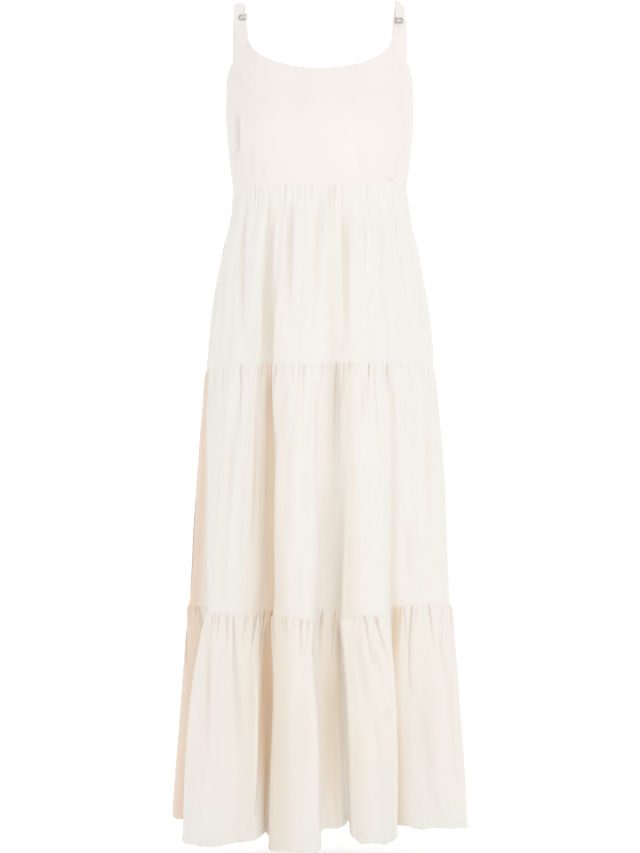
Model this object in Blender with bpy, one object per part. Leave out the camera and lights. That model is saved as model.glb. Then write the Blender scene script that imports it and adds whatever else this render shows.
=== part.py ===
"""Tiered maxi dress with adjustable straps, filled out as it is worn.

Metres, +Z up. The front faces -Y. The origin is on the shoulder line, midway between the two straps.
Every cloth piece is a sheet of points on the cloth's outer face, with a wall of cloth inside it.
"""

from collections import namedtuple
from math import cos, pi, radians, sin

import bpy
import numpy as np

MM = 1000.0  # millimetres in a metre, for the tables that are in millimetres

# Heights, from the shoulder line down
UNDERARM = -0.138
EMPIRE_SEAM = -0.309
TIER_2_SEAM = -0.584
TIER_3_SEAM = -0.9665
HEM = -1.3255

CLOTH = 0.0013  # wall of cloth
SEAM_GAP = 0.0003  # between the pieces that a seam joins
LIFT = 0.11  # rise of a cloth line for each metre that a fold draws it inward

# Neckline: half an ellipse between the roots of the straps
NECK_HALF_WIDTH = 0.1135
NECK_BOTTOM = -0.124
NECK_CORNER = -0.064
# Armhole: across and height of its points, from the strap's outer edge to the side seam
ARMHOLE = ((0.1378, -0.1040), (0.1434, -0.1140), (0.1468, -0.1250), (0.1497, UNDERARM))
NECK_TURNS = [radians(turn) for turn in (78, 67, 55, 42, 28, 14, 0)]
BACK_DIP = 0.012  # the back's top edge is this much lower at the centre
FRONT_DROPS = (0.0, 0.10, 0.24, 0.40, 0.56, 0.72, 0.87, 1.0)  # rows, as shares of the way down a panel
BACK_DROPS = (0.0, 0.16, 0.36, 0.56, 0.78, 1.0)
BACK_COLUMNS = 31

Section = namedtuple("Section", "height half_width front back squareness")
SECTIONS = (
    Section(-0.020, 0.1500, 0.047, 0.046, 2.35),
    Section(-0.064, 0.1500, 0.081, 0.080, 2.35),
    Section(-0.104, 0.1499, 0.100, 0.090, 2.35),
    Section(UNDERARM, 0.1498, 0.112, 0.093, 2.35),
    Section(-0.195, 0.1497, 0.130, 0.092, 2.45),
    Section(-0.260, 0.1441, 0.119, 0.087, 2.35),
    Section(EMPIRE_SEAM, 0.1392, 0.108, 0.084, 2.25),
    Section(-0.335, 0.1412, 0.110, 0.087, 2.2),
    Section(-0.400, 0.1568, 0.122, 0.103, 2.15),
    Section(-0.480, 0.1710, 0.134, 0.124, 2.15),
    Section(TIER_2_SEAM, 0.1818, 0.144, 0.140, 2.15),
    Section(-0.690, 0.1912, 0.153, 0.150, 2.2),
    Section(-0.835, 0.2016, 0.160, 0.162, 2.2),
    Section(TIER_3_SEAM, 0.2085, 0.165, 0.170, 2.3),
    Section(-1.030, 0.2152, 0.169, 0.177, 2.4),
    Section(-1.200, 0.2290, 0.172, 0.186, 2.4),
    Section(HEM, 0.2355, 0.174, 0.192, 2.4),
)

# Large folds: each is a valley, or a ridge that stands back or hangs higher than its neighbours. Angles are
# degrees from the front's middle towards +X, and lefts and rights are the degrees that its sides take, all
# at the tier 2 seam, the tier 3 seam and the hem. Depths are millimetres at the tier 2 seam, the tier 3
# seam, the puff of the ruffle and the hem. Rises are millimetres at the tier 3 seam and the hem, and lift
# the cloth. Tuck is how far, in millimetres, the sides lean over, and floor is the share of the bottom
# that is flat.
FOLD_HEIGHTS = (TIER_2_SEAM, TIER_3_SEAM, HEM)
FOLD_DEPTH_HEIGHTS = (EMPIRE_SEAM, TIER_2_SEAM, TIER_3_SEAM, -1.020, HEM)
Fold = namedtuple("Fold", "name angles lefts rights depths rises tuck floor")
FOLDS = (
    Fold("left side", (-66, -72, -76), (18, 20, 20), (12, 14, 16), (2, 32, 44, 55), (0, 0), 4, 0.0),
    Fold("left front", (-26, -22.5, -23.3), (7, 9, 20), (5, 5, 5), (10, 48, 70, 88), (0, 0), 3, 0.1),
    Fold("front ridge", (-8, -8, -8), (16, 16, 16), (14, 14, 14), (0, 0, 0, 0), (-5, 2), 0, 0.2),
    Fold("right front", (7, 5.6, 8), (10, 12, 12), (4, 5, 5), (6, 36, 74, 104), (0, 4), 3, 0.2),
    Fold("right ridge", (20, 19, 17), (13, 13, 13), (14, 14, 14), (0, 6, 14, 22), (0, 3), 0, 0.2),
    Fold("right side", (36, 35, 33.5), (6, 7, 6), (26, 40, 48), (4, 34, 60, 92), (4, 6), 4, 0.1),
    Fold("side ridge", (62, 62, 64), (24, 24, 24), (22, 22, 22), (0, 3, 5, 8), (1, 6), 0, 0.2),
    Fold("right rear", (97, 99, 101), (17, 17, 17), (16, 16, 16), (0, 18, 30, 45), (0, 0), 3, 0.0),
    Fold("back 1", (126, 128, 130), (14, 14, 14), (15, 15, 15), (4, 30, 46, 62), (0, 0), 4, 0.1),
    Fold("back 2", (158, 156, 157), (13, 13, 13), (14, 14, 14), (6, 36, 58, 74), (0, 0), 5, 0.1),
    Fold("back 3", (186, 187, 185), (15, 15, 15), (14, 14, 14), (4, 28, 46, 62), (0, 0), 4, 0.1),
    Fold("back 4", (213, 215, 214), (13, 13, 13), (15, 15, 15), (6, 36, 58, 70), (0, 0), 5, 0.1),
    Fold("back 5", (243, 243, 243), (14, 14, 14), (14, 14, 14), (3, 28, 46, 60), (0, 0), 4, 0.0),
    Fold("left rear", (-105, -105, -104), (22, 22, 22), (14, 14, 14), (0, 0, 0, 0), (5, 16), 0, 0.3),
)

# Gathers of the front panels, from the left seam to the right: place as a percentage of the cloth's width,
# depth in millimetres and reach down from the seam in millimetres. The backs have them in mirror order.
Gather = namedtuple("Gather", "place depth reach")
TIER_1_GATHERS = (
    (5.0, 1.6, 50), (12.0, 1.8, 90), (18.5, 2.4, 130), (21.0, 1.6, 40), (23.2, 2.2, 36),
    (26.3, 1.8, 50), (29.3, 3.4, 200), (31.6, 1.8, 36), (34.0, 1.5, 28), (36.2, 1.8, 30),
    (38.8, 2.8, 170), (41.4, 1.5, 30), (44.2, 1.8, 50), (49.0, 2.2, 130), (53.0, 1.6, 34),
    (55.8, 1.4, 26), (59.3, 2.6, 160), (67.0, 2.0, 110), (69.4, 2.6, 70), (84.0, 1.8, 100),
    (92.0, 1.8, 80),
)
TIER_2_GATHERS = (
    (4.0, 1.8, 60), (8.4, 2.4, 60), (13.1, 2.6, 50), (18.0, 2.0, 60), (21.5, 1.6, 40),
    (24.7, 2.8, 76), (29.6, 1.8, 36), (32.0, 2.4, 50), (34.6, 3.4, 110), (38.0, 2.0, 40),
    (41.8, 2.0, 60), (44.6, 1.8, 36), (47.0, 2.0, 60), (51.2, 2.0, 120), (54.0, 1.4, 30),
    (56.4, 3.0, 150), (58.8, 2.6, 60), (61.0, 1.8, 40), (63.4, 2.6, 90), (67.2, 2.4, 100),
    (71.0, 3.2, 60), (73.6, 2.0, 80), (80.7, 2.0, 90), (86.0, 1.6, 60), (91.0, 1.8, 70),
    (96.0, 1.6, 50),
)
TIER_3_GATHERS = (
    (3.0, 2.2, 50), (6.5, 2.6, 60), (10.0, 2.6, 50), (14.0, 2.8, 60), (18.2, 3.0, 130),
    (20.8, 2.2, 50), (24.4, 3.0, 110), (26.8, 2.4, 60), (29.2, 2.6, 50), (31.8, 2.8, 60),
    (34.2, 3.0, 60), (37.0, 3.0, 50), (40.0, 2.6, 50), (42.8, 2.2, 40), (45.2, 2.0, 40),
    (47.6, 3.0, 50), (51.4, 3.0, 64), (54.2, 2.8, 80), (56.8, 2.4, 60), (59.4, 2.8, 70),
    (62.0, 2.4, 50), (66.0, 2.0, 50), (69.0, 3.0, 90), (72.0, 2.8, 50), (75.4, 2.6, 50),
    (78.6, 3.0, 60), (81.0, 2.4, 40), (83.4, 2.8, 130), (86.8, 3.0, 120), (90.5, 2.2, 60),
    (94.0, 2.4, 60), (97.2, 2.2, 50),
)
Tier = namedtuple("Tier", "name top bottom gathers fine_drops coarse_drops")
TIERS = (
    Tier(
        "tier1", EMPIRE_SEAM, TIER_2_SEAM, [Gather(*row) for row in TIER_1_GATHERS],
        (0.0, 0.03, 0.08, 0.16), (0.30, 0.52, 0.76, 1.0),
    ),
    Tier(
        "tier2", TIER_2_SEAM, TIER_3_SEAM, [Gather(*row) for row in TIER_2_GATHERS],
        (0.0, 0.02, 0.055, 0.11), (0.22, 0.40, 0.60, 0.80, 1.0),
    ),
    Tier(
        "tier3", TIER_3_SEAM, HEM, [Gather(*row) for row in TIER_3_GATHERS],
        (0.0, 0.02, 0.055, 0.11), (0.20, 0.36, 0.56, 0.78, 1.0),
    ),
)
GATHER_START = 0.45  # share of a gather's depth at the seam itself
GATHER_RISE = 0.016  # distance below the seam where the depth is full

# Straps
STRAP_WIDTH = 0.0165
BACK_STRAP_X = 0.1090
BACK_STRAP_LAP = 0.016  # below the underarm's height, inside the back panel
SPREAD_LENGTH = 0.004  # from a ring's bar to the strap's full width
StrapRow = namedtuple("StrapRow", "x y z width turn")  # turn: degrees that its outer edge is turned back
SHOULDER_PATH = (
    StrapRow(0.1285, -0.0165, -0.0080, STRAP_WIDTH, 0),
    StrapRow(0.1285, -0.0075, -0.0018, STRAP_WIDTH, 0),
    StrapRow(0.1285, 0.0020, 0.0000, STRAP_WIDTH, 0),
    StrapRow(0.1285, 0.0120, -0.0040, STRAP_WIDTH, 2),
    StrapRow(0.1280, 0.0225, -0.0140, STRAP_WIDTH, 5),
    StrapRow(0.1265, 0.0330, -0.0300, STRAP_WIDTH, 9),
    StrapRow(0.1230, 0.0450, -0.0560, STRAP_WIDTH, 15),
    StrapRow(0.1175, 0.0550, -0.0860, STRAP_WIDTH, 22),
    StrapRow(0.1120, 0.0635, -0.1180, STRAP_WIDTH, 28),
)
# Front of the strap, cut in one with the bodice
FRONT_STRAP_HEIGHT = -0.050
FRONT_STRAP_INNER = 0.1150
FRONT_STRAP_OUTER = 0.1378
FRONT_STRAP_NECK = ((0.20, 0.74), (0.50, 0.95))  # shares of the way down from the ring and of the full width
STRAP_SHARES = (0.0, 0.25, 0.5, 0.75, 1.0)
LOOP_TAIL = 0.006  # turned back behind a ring's bar

# Rings of the straps
WIRE_RADIUS = 0.00095
RING_WIDTH = 0.0130
RING_HEIGHT = 0.0108
RING_SQUARENESS = 4.0
RING_STEPS = 28
WIRE_SIDES = 8
RING_LEAN = radians(31)  # back from upright
RING_STRAP_WIDTH = 0.0064  # the cloth is drawn together to this inside a ring
RingPlace = namedtuple("RingPlace", "side x y z")
RINGS = (RingPlace("left", -0.1215, -0.0300, -0.0290), RingPlace("right", 0.1250, -0.0335, -0.0350))


def material(name, colour, roughness, metallic):
    made = bpy.data.materials.new(name)
    made.use_nodes = True
    shader = made.node_tree.nodes["Principled BSDF"]
    shader.inputs["Base Color"].default_value = (*colour, 1.0)
    shader.inputs["Roughness"].default_value = roughness
    shader.inputs["Metallic"].default_value = metallic
    made.diffuse_color = (*colour, 1.0)
    return made


def mesh_object(name, points, faces, finish):
    mesh = bpy.data.meshes.new(name)
    mesh.from_pydata([tuple(map(float, p)) for p in points], [], faces)
    mesh.validate()
    mesh.materials.append(finish)
    mesh.shade_smooth()
    made = bpy.data.objects.new(name, mesh)
    bpy.context.collection.objects.link(made)
    return made


def split_faces(points, faces):
    """Split each face of four points along its shorter diagonal, so that both sides of the cloth match."""
    triangles = []
    for face in faces:
        if len(face) == 3:
            triangles.append(face)
            continue
        a, b, c, d = face
        if np.linalg.norm(points[a] - points[c]) < np.linalg.norm(points[b] - points[d]):
            triangles += [(a, b, c), (a, c, d)]
        else:
            triangles += [(a, b, d), (b, c, d)]
    return triangles


def point_directions(points, faces):
    """The sheet's outward direction at each point, from the faces round it."""
    total = np.zeros_like(points)
    for face in faces:
        corners = points[list(face)]
        tilt = np.cross(corners, np.roll(corners, -1, axis=0)).sum(axis=0)
        for i in face:
            total[i] += tilt
    return total / np.linalg.norm(total, axis=1, keepdims=True)


def cloth_object(name, points, faces, seam_directions):
    """Close a sheet of outer points with an inner face, one cloth's thickness in, and a rim round its edges.

    Points on a seam are moved in along the direction given for them, which both pieces of the seam share.
    """
    points = np.array(points)
    faces = split_faces(points, faces)
    outward = point_directions(points, faces)
    for i, direction in seam_directions.items():
        outward[i] = direction
    count = len(points)
    walls = list(faces) + [tuple(i + count for i in reversed(face)) for face in faces]
    edges = {(face[k], face[(k + 1) % len(face)]) for face in faces for k in range(len(face))}
    for a, b in sorted(edges):
        if (b, a) not in edges:
            walls.append((b, a, a + count, b + count))
    finish = material(name, (0.86, 0.83, 0.78), 0.85, 0.0)
    return mesh_object(name, np.concatenate([points, points - CLOTH * outward]), walls, finish)


def smooth_step(x):
    x = np.clip(x, 0.0, 1.0)
    return x * x * (3.0 - 2.0 * x)


def through(places, values, at):
    """A smooth curve through values at rising places."""
    places = np.asarray(places, float)
    values = np.asarray(values, float)
    slopes = np.gradient(values, places)
    at = np.clip(at, places[0], places[-1])
    i = np.clip(np.searchsorted(places, at) - 1, 0, len(places) - 2)
    span = places[i + 1] - places[i]
    s = (at - places[i]) / span
    ends = values[i] * (2 * s**3 - 3 * s**2 + 1) + values[i + 1] * (3 * s**2 - 2 * s**3)
    return ends + span * (slopes[i] * (s**3 - 2 * s**2 + s) + slopes[i + 1] * (s**3 - s**2))


def section_points(angle, height):
    """Across and depth on the plain section, a superellipse, at angles from the front's middle."""
    drops = [-row.height for row in SECTIONS]
    width, front, back, squareness = (
        through(drops, [getattr(row, field) for row in SECTIONS], -height)
        for field in ("half_width", "front", "back", "squareness")
    )
    s = np.sin(angle)
    c = np.cos(angle)
    reach = (np.abs(s) ** squareness + np.abs(c) ** squareness) ** (-1.0 / squareness)
    depth = np.where(c > 0.0, front, back)
    return np.stack([width * s * reach, -depth * c * reach], axis=-1)


def at_height(height, heights, values):
    return np.interp(-height, np.negative(heights), values)


def folded_points(angle, height):
    """The section with its large folds, and how far each point is lifted."""
    base = section_points(angle, height)
    along = section_points(angle + 1e-4, height) - base
    along /= np.linalg.norm(along, axis=-1, keepdims=True)
    outward = np.stack([along[..., 1], -along[..., 0]], axis=-1)
    inward = np.zeros_like(angle)
    sideways = np.zeros_like(angle)
    rise = np.zeros_like(angle)
    for fold in FOLDS:
        middle = radians(at_height(height, FOLD_HEIGHTS, fold.angles))
        left = radians(at_height(height, FOLD_HEIGHTS, fold.lefts))
        right = radians(at_height(height, FOLD_HEIGHTS, fold.rights))
        depth = at_height(height, FOLD_DEPTH_HEIGHTS, (0.0, *fold.depths)) / MM
        gap = (angle - middle + pi) % (2 * pi) - pi
        slope = np.abs(gap) / np.where(gap > 0.0, right, left)
        slope = np.clip((slope - fold.floor) / (1.0 - fold.floor), 0.0, 1.0)
        share = 1.0 - smooth_step(slope)
        inward += depth * share
        rise += at_height(height, FOLD_HEIGHTS, (0.0, *fold.rises)) / MM * share
        if fold.tuck:
            sideways += fold.tuck * depth / fold.depths[-1] * np.sign(gap) * np.sin(2 * pi * slope)
    line = base - outward * inward[:, None] + along * sideways[:, None]
    return line, LIFT * inward + rise


def panel_row(side, shares, height):
    """Points and outward directions at shares of the cloth's width, from one side seam to the other."""
    start = -pi / 2 if side == "front" else pi / 2
    angle = start + np.linspace(0.0, pi, 1201)
    line, lift = folded_points(angle, height)
    lengths = np.concatenate([[0.0], np.cumsum(np.linalg.norm(np.diff(line, axis=0), axis=1))])
    lengths /= lengths[-1]
    along = np.gradient(line, lengths, axis=0)
    along /= np.linalg.norm(along, axis=1, keepdims=True)
    x = np.interp(shares, lengths, line[:, 0])
    y = np.interp(shares, lengths, line[:, 1])
    z = height + np.interp(shares, lengths, lift)
    out_x = np.interp(shares, lengths, along[:, 1])
    out_y = np.interp(shares, lengths, -along[:, 0])
    return np.stack([x, y, z], axis=1), np.stack([out_x, out_y, np.zeros_like(x)], axis=1)


def gather_places(gathers):
    """Shares of the cloth's width at its left seam, each gather and its right seam."""
    return [0.0] + [gather.place / 100 for gather in gathers] + [1.0]


def gather_relief(gathers, shares, below):
    """How far the gathered cloth stands out at a distance below its seam."""
    places = gather_places(gathers)
    relief = np.zeros_like(shares)
    puff = 0.0
    for i, gather in enumerate(gathers):
        rise = GATHER_START + (1.0 - GATHER_START) * smooth_step(below / GATHER_RISE)
        fade = 1.0 - smooth_step((below * MM / gather.reach - 0.25) / 0.75)
        strength = gather.depth / MM * rise * fade
        gap = shares - places[i + 1]
        room = np.where(gap < 0.0, places[i + 1] - places[i], places[i + 2] - places[i + 1])
        relief -= strength * np.clip(1.0 - np.abs(gap) / (0.75 * room), 0.0, 1.0) ** 1.5
        puff += 0.5 * strength / len(gathers)
    ends = np.clip(np.minimum(shares, 1.0 - shares) / 0.02, 0.0, 1.0)
    return puff * ends + relief


def gathers_of(tier, side):
    if side == "front":
        return tier.gathers
    return [Gather(100 - place, depth, reach) for place, depth, reach in reversed(tier.gathers)]


def gather_columns(gathers):
    """Shares of the cloth's width: each gather's line, and two between it and the next."""
    places = gather_places(gathers)
    columns = []
    for start, end in zip(places[:-1], places[1:]):
        columns += [start, start + (end - start) * 0.36, start + (end - start) * 0.64]
    return np.array(columns + [1.0])


def grid_faces(rows):
    """Faces between rows that have the same number of points."""
    faces = []
    for upper, lower in zip(rows[:-1], rows[1:]):
        for i in range(len(upper) - 1):
            faces.append((upper[i], lower[i], lower[i + 1], upper[i + 1]))
    return faces


def zip_faces(upper, upper_shares, lower, lower_shares):
    """Triangles between two rows whose points are at different shares of the width."""
    faces = []
    i = 0
    k = 0
    while i < len(upper) - 1 or k < len(lower) - 1:
        upper_next = upper_shares[i + 1] if i < len(upper) - 1 else 2.0
        lower_next = lower_shares[k + 1] if k < len(lower) - 1 else 2.0
        if upper_next < lower_next:
            faces.append((upper[i], lower[k], upper[i + 1]))
            i += 1
        else:
            faces.append((upper[i], lower[k], lower[k + 1]))
            k += 1
    return faces


def tier_panel(name, side, tier, next_tier):
    """A gathered panel: fine columns near its seam, fewer below, and the next tier's columns at its foot."""
    gathers = gathers_of(tier, side)
    fine = gather_columns(gathers)
    coarse = np.concatenate([fine[0:-1:2], fine[-1:]])
    foot = gather_columns(gathers_of(next_tier, side)) if next_tier else coarse
    length = tier.top - tier.bottom - SEAM_GAP
    points = []
    rows = []
    row_shares = []
    seams = {}
    for drop in (*tier.fine_drops, *tier.coarse_drops):
        shares = fine if drop in tier.fine_drops else coarse
        if drop == 1.0:
            shares = foot
        line, outward = panel_row(side, shares, tier.top - SEAM_GAP / 2 - drop * length)
        line += outward * gather_relief(gathers, shares, drop * length)[:, None]
        row = list(range(len(points), len(points) + len(shares)))
        along = np.stack([-outward[:, 1], outward[:, 0], outward[:, 2]], axis=1)
        line[0] += along[0] * SEAM_GAP / 2
        line[-1] -= along[-1] * SEAM_GAP / 2
        on_seam = range(len(row)) if drop in (0.0, 1.0) else (0, len(row) - 1)
        for i in on_seam:
            seams[row[i]] = outward[i]
        points += list(line)
        rows.append(row)
        row_shares.append(shares)
    faces = []
    for i in range(len(rows) - 1):
        if row_shares[i] is row_shares[i + 1]:
            faces += grid_faces(rows[i : i + 2])
        else:
            faces += zip_faces(rows[i], row_shares[i], rows[i + 1], row_shares[i + 1])
    return cloth_object(name, points, faces, seams)


def angle_at(across, height):
    """The angle in front where the section is this far across."""
    angle = np.linspace(0.0, pi / 2, 721)
    return float(np.interp(across, section_points(angle, height)[:, 0], angle))


def on_front(across, height):
    """A point of the front surface."""
    angle = np.sign(across) * angle_at(abs(across), height)
    x, y = section_points(np.array([angle]), height)[0]
    return np.array([x, y, height])


def ring_directions():
    """Directions in a ring's plane upwards, and out of the plane to the front."""
    up = np.array([0.0, sin(RING_LEAN), cos(RING_LEAN)])
    out = np.array([0.0, -cos(RING_LEAN), sin(RING_LEAN)])
    return up, out


def loop_round_bar(bar, up, out):
    """Points on the cloth's outer face from the front of a bar, over it towards up, and down behind it."""
    radius = WIRE_RADIUS + SEAM_GAP + CLOTH
    points = []
    for turn in np.linspace(0.0, pi, 7):
        points.append(bar + radius * (cos(turn) * out + sin(turn) * up))
    points.append(points[-1] - up * LOOP_TAIL)
    return points


def bar_row(middle):
    """A row across the cloth where it is drawn together inside a ring."""
    return [middle + np.array([(share - 0.5) * RING_STRAP_WIDTH, 0.0, 0.0]) for share in STRAP_SHARES]


def front_edge():
    """Across and height along the front's top edge, from the left side seam to the right one.

    It goes up each armhole to the strap's outer edge, over the strap's root, and down round the neckline.
    """
    half = list(reversed(ARMHOLE))
    outer, low = ARMHOLE[0]
    for share in STRAP_SHARES[1:]:
        half.append((outer + share * (NECK_HALF_WIDTH - outer), low + share * (NECK_CORNER - low)))
    for turn in NECK_TURNS:
        half.append((NECK_HALF_WIDTH * sin(turn), NECK_CORNER - (NECK_CORNER - NECK_BOTTOM) * cos(turn)))
    return [(-x, z) for x, z in half] + list(reversed(half[:-1]))


def bodice_front():
    """The front panel with the fronts of both straps, which fold round the rings."""
    edge = front_edge()
    angles = [np.sign(x) * angle_at(abs(x), max(z, UNDERARM)) for x, z in edge]
    angles[0] = -pi / 2
    angles[-1] = pi / 2
    points, rows = panel_grid(angles, [z for _, z in edge], FRONT_DROPS)
    seams = bodice_seams(points, rows, angles)
    faces = grid_faces(rows)
    first = len(ARMHOLE) - 1
    count = len(STRAP_SHARES)
    for ring in RINGS:
        start = first if ring.side == "left" else len(edge) - first - count
        root = rows[0][start : start + count]
        strap_rows = strap_front(ring, [points[i] for i in root])
        numbered = []
        for row in strap_rows:
            numbered.append(list(range(len(points), len(points) + count)))
            points += row
        faces += grid_faces([*numbered, root])
    return cloth_object("bodice_front", points, faces, seams)


def strap_front(ring, root):
    """Rows of points from the tail behind the ring's lower bar, over the bar and down to the strap's root."""
    side = -1.0 if ring.side == "left" else 1.0
    up, out = ring_directions()
    bar = np.array([ring.x, ring.y, ring.z]) - up * (RING_HEIGHT / 2 - WIRE_RADIUS)
    rows = [bar_row(middle) for middle in reversed(loop_round_bar(bar, up, out))]
    ends = sorted((FRONT_STRAP_OUTER * side, FRONT_STRAP_INNER * side))
    full = [on_front(ends[0] + share * (ends[1] - ends[0]), FRONT_STRAP_HEIGHT) for share in STRAP_SHARES]
    narrow = rows[-1]
    for down, wide in FRONT_STRAP_NECK:
        rows.append([a + (b - a) * np.array([wide, down, down]) for a, b in zip(narrow, full)])
    rows.append(full)
    for down in (1 / 3, 2 / 3):
        mixed = [a + (b - a) * down for a, b in zip(full, root)]
        rows.append([on_front(point[0], point[2]) for point in mixed])
    return rows


def panel_grid(angles, tops, drops):
    """A bodice panel's points and rows, from its top edge down to the empire seam."""
    bottom = EMPIRE_SEAM + SEAM_GAP / 2
    points = []
    rows = []
    for drop in drops:
        rows.append(list(range(len(points), len(points) + len(angles))))
        for angle, top in zip(angles, tops):
            height = top + drop * (bottom - top)
            x, y = section_points(np.array([angle]), height)[0]
            points.append(np.array([x, y, height]))
    return points, rows


def outward_at(angle, height):
    """The level direction out of the plain section."""
    here, beside = section_points(np.array([angle, angle + 1e-4]), height)
    step = (beside - here) / np.linalg.norm(beside - here)
    return np.array([step[1], -step[0], 0.0])


def bodice_seams(points, rows, angles):
    """Draw the panel's sides back by half a gap, and give the directions along its side and bottom seams."""
    seams = {}
    for row in rows:
        for end, step in ((0, 1.0), (-1, -1.0)):
            outward = outward_at(angles[end], points[row[end]][2])
            points[row[end]] += step * np.array([-outward[1], outward[0], 0.0]) * SEAM_GAP / 2
            seams[row[end]] = outward
    for i, angle in zip(rows[-1], angles):
        seams[i] = outward_at(angle, points[i][2])
    return seams


def bodice_back():
    """The back panel, whose top edge dips at its middle."""
    shares = np.linspace(0.0, 1.0, BACK_COLUMNS)
    angles = list(pi / 2 + pi * shares)
    points, rows = panel_grid(angles, UNDERARM - BACK_DIP * np.sin(pi * shares) ** 2, BACK_DROPS)
    seams = bodice_seams(points, rows, angles)
    return cloth_object("bodice_back", points, grid_faces(rows), seams)


def inside_back(across, height):
    """A point just inside the back panel."""
    angles = np.linspace(pi, pi / 2, 721)
    angle = float(np.interp(abs(across), section_points(angles, height)[:, 0], angles))
    x, y = section_points(np.array([angle]), height)[0]
    inner = np.array([x, y, height]) - (CLOTH + 1.5 * SEAM_GAP) * outward_at(angle, height)
    inner[0] *= np.sign(across)
    return inner


def shoulder_strap(ring):
    """The strap from its loop round the ring, over the shoulder, to the inside of the back."""
    side = -1.0 if ring.side == "left" else 1.0
    up, out = ring_directions()
    bar = np.array([ring.x, ring.y, ring.z]) + up * (RING_HEIGHT / 2 - WIRE_RADIUS)
    lines = [bar_row(middle) for middle in reversed(loop_round_bar(bar, -up, out))]
    above = lines[-1][0] + up * SPREAD_LENGTH
    path = (StrapRow(SHOULDER_PATH[0].x, above[1], above[2], STRAP_WIDTH, 0), *SHOULDER_PATH)
    for row in path:
        turn = radians(row.turn)
        across = row.width * np.array([cos(turn), -side * sin(turn), 0.0])
        middle = np.array([side * row.x, row.y, row.z])
        lines.append([middle + (share - 0.5) * across for share in STRAP_SHARES])
    for height in (UNDERARM, UNDERARM - BACK_STRAP_LAP):
        places = [side * BACK_STRAP_X + (share - 0.5) * STRAP_WIDTH for share in STRAP_SHARES]
        lines.append([inside_back(across, height) for across in places])
    points = []
    rows = []
    for line in lines:
        rows.append(list(range(len(points), len(points) + len(line))))
        points += line
    faces = [tuple(reversed(face)) for face in grid_faces(rows)]
    return cloth_object("strap_" + ring.side, points, faces, {})


def strap_ring(ring):
    """A rounded ring of round wire, leaning with the strap."""
    up, _ = ring_directions()
    right = np.array([1.0, 0.0, 0.0])
    out = np.cross(right, up)
    points = []
    faces = []
    for i in range(RING_STEPS):
        turn = 2 * pi * i / RING_STEPS
        corners = abs(cos(turn)) ** RING_SQUARENESS + abs(sin(turn)) ** RING_SQUARENESS
        reach = corners ** (-1.0 / RING_SQUARENESS)
        across = (RING_WIDTH / 2 - WIRE_RADIUS) * cos(turn) * reach
        height = (RING_HEIGHT / 2 - WIRE_RADIUS) * sin(turn) * reach
        middle = np.array([ring.x, ring.y, ring.z]) + right * across + up * height
        radial = right * cos(turn) + up * sin(turn)
        for k in range(WIRE_SIDES):
            spin = 2 * pi * k / WIRE_SIDES
            points.append(middle + WIRE_RADIUS * (cos(spin) * radial + sin(spin) * out))
            here = i * WIRE_SIDES
            after = (i + 1) % RING_STEPS * WIRE_SIDES
            beside = (k + 1) % WIRE_SIDES
            faces.append((here + k, after + k, after + beside, here + beside))
    name = "ring_" + ring.side
    return mesh_object(name, points, faces, material(name, (0.75, 0.74, 0.72), 0.2, 1.0))


def main():
    for old in list(bpy.data.objects):
        bpy.data.objects.remove(old, do_unlink=True)
    bodice_front()
    bodice_back()
    for ring in RINGS:
        shoulder_strap(ring)
        strap_ring(ring)
    for tier, next_tier in zip(TIERS, (*TIERS[1:], None)):
        for side in ("front", "back"):
            tier_panel(f"{tier.name}_{side}", side, tier, next_tier)


main()
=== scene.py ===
"""Looks of the tiered maxi dress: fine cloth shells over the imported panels, sewing, rings and studio.

Metres, +Z up, front to -Y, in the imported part's own frame. The tables of sections, folds and gathers are the
part's own, with shallower folds in front, and each cloth piece lies on its solid's outer face.
"""

from collections import namedtuple
from math import cos, pi, radians, sin

import bpy
import numpy as np
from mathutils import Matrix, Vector


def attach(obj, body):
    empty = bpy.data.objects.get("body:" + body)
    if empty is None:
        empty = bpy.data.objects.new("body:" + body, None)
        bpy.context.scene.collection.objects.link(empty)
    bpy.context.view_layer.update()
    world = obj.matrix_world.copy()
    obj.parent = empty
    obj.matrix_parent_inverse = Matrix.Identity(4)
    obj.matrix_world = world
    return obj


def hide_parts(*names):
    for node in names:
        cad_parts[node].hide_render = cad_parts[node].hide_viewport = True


MM = 1000.0  # millimetres in a metre
STEP = 1e-4  # to the point beside, for a direction
TINY = 1e-12

# ---- the part's own values

UNDERARM = -0.138
EMPIRE_SEAM = -0.309
TIER_2_SEAM = -0.584
TIER_3_SEAM = -0.9665
HEM = -1.3255
PUFF_HEIGHT = -1.02

LIFT = 0.11  # rise of a cloth line for each metre that a fold draws it inward

NECK_HALF_WIDTH = 0.1135
NECK_BOTTOM = -0.124
NECK_CORNER = -0.064
ARMHOLE = ((0.1378, -0.104), (0.1434, -0.114), (0.1468, -0.125), (0.1497, UNDERARM))
BACK_DIP = 0.012

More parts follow.
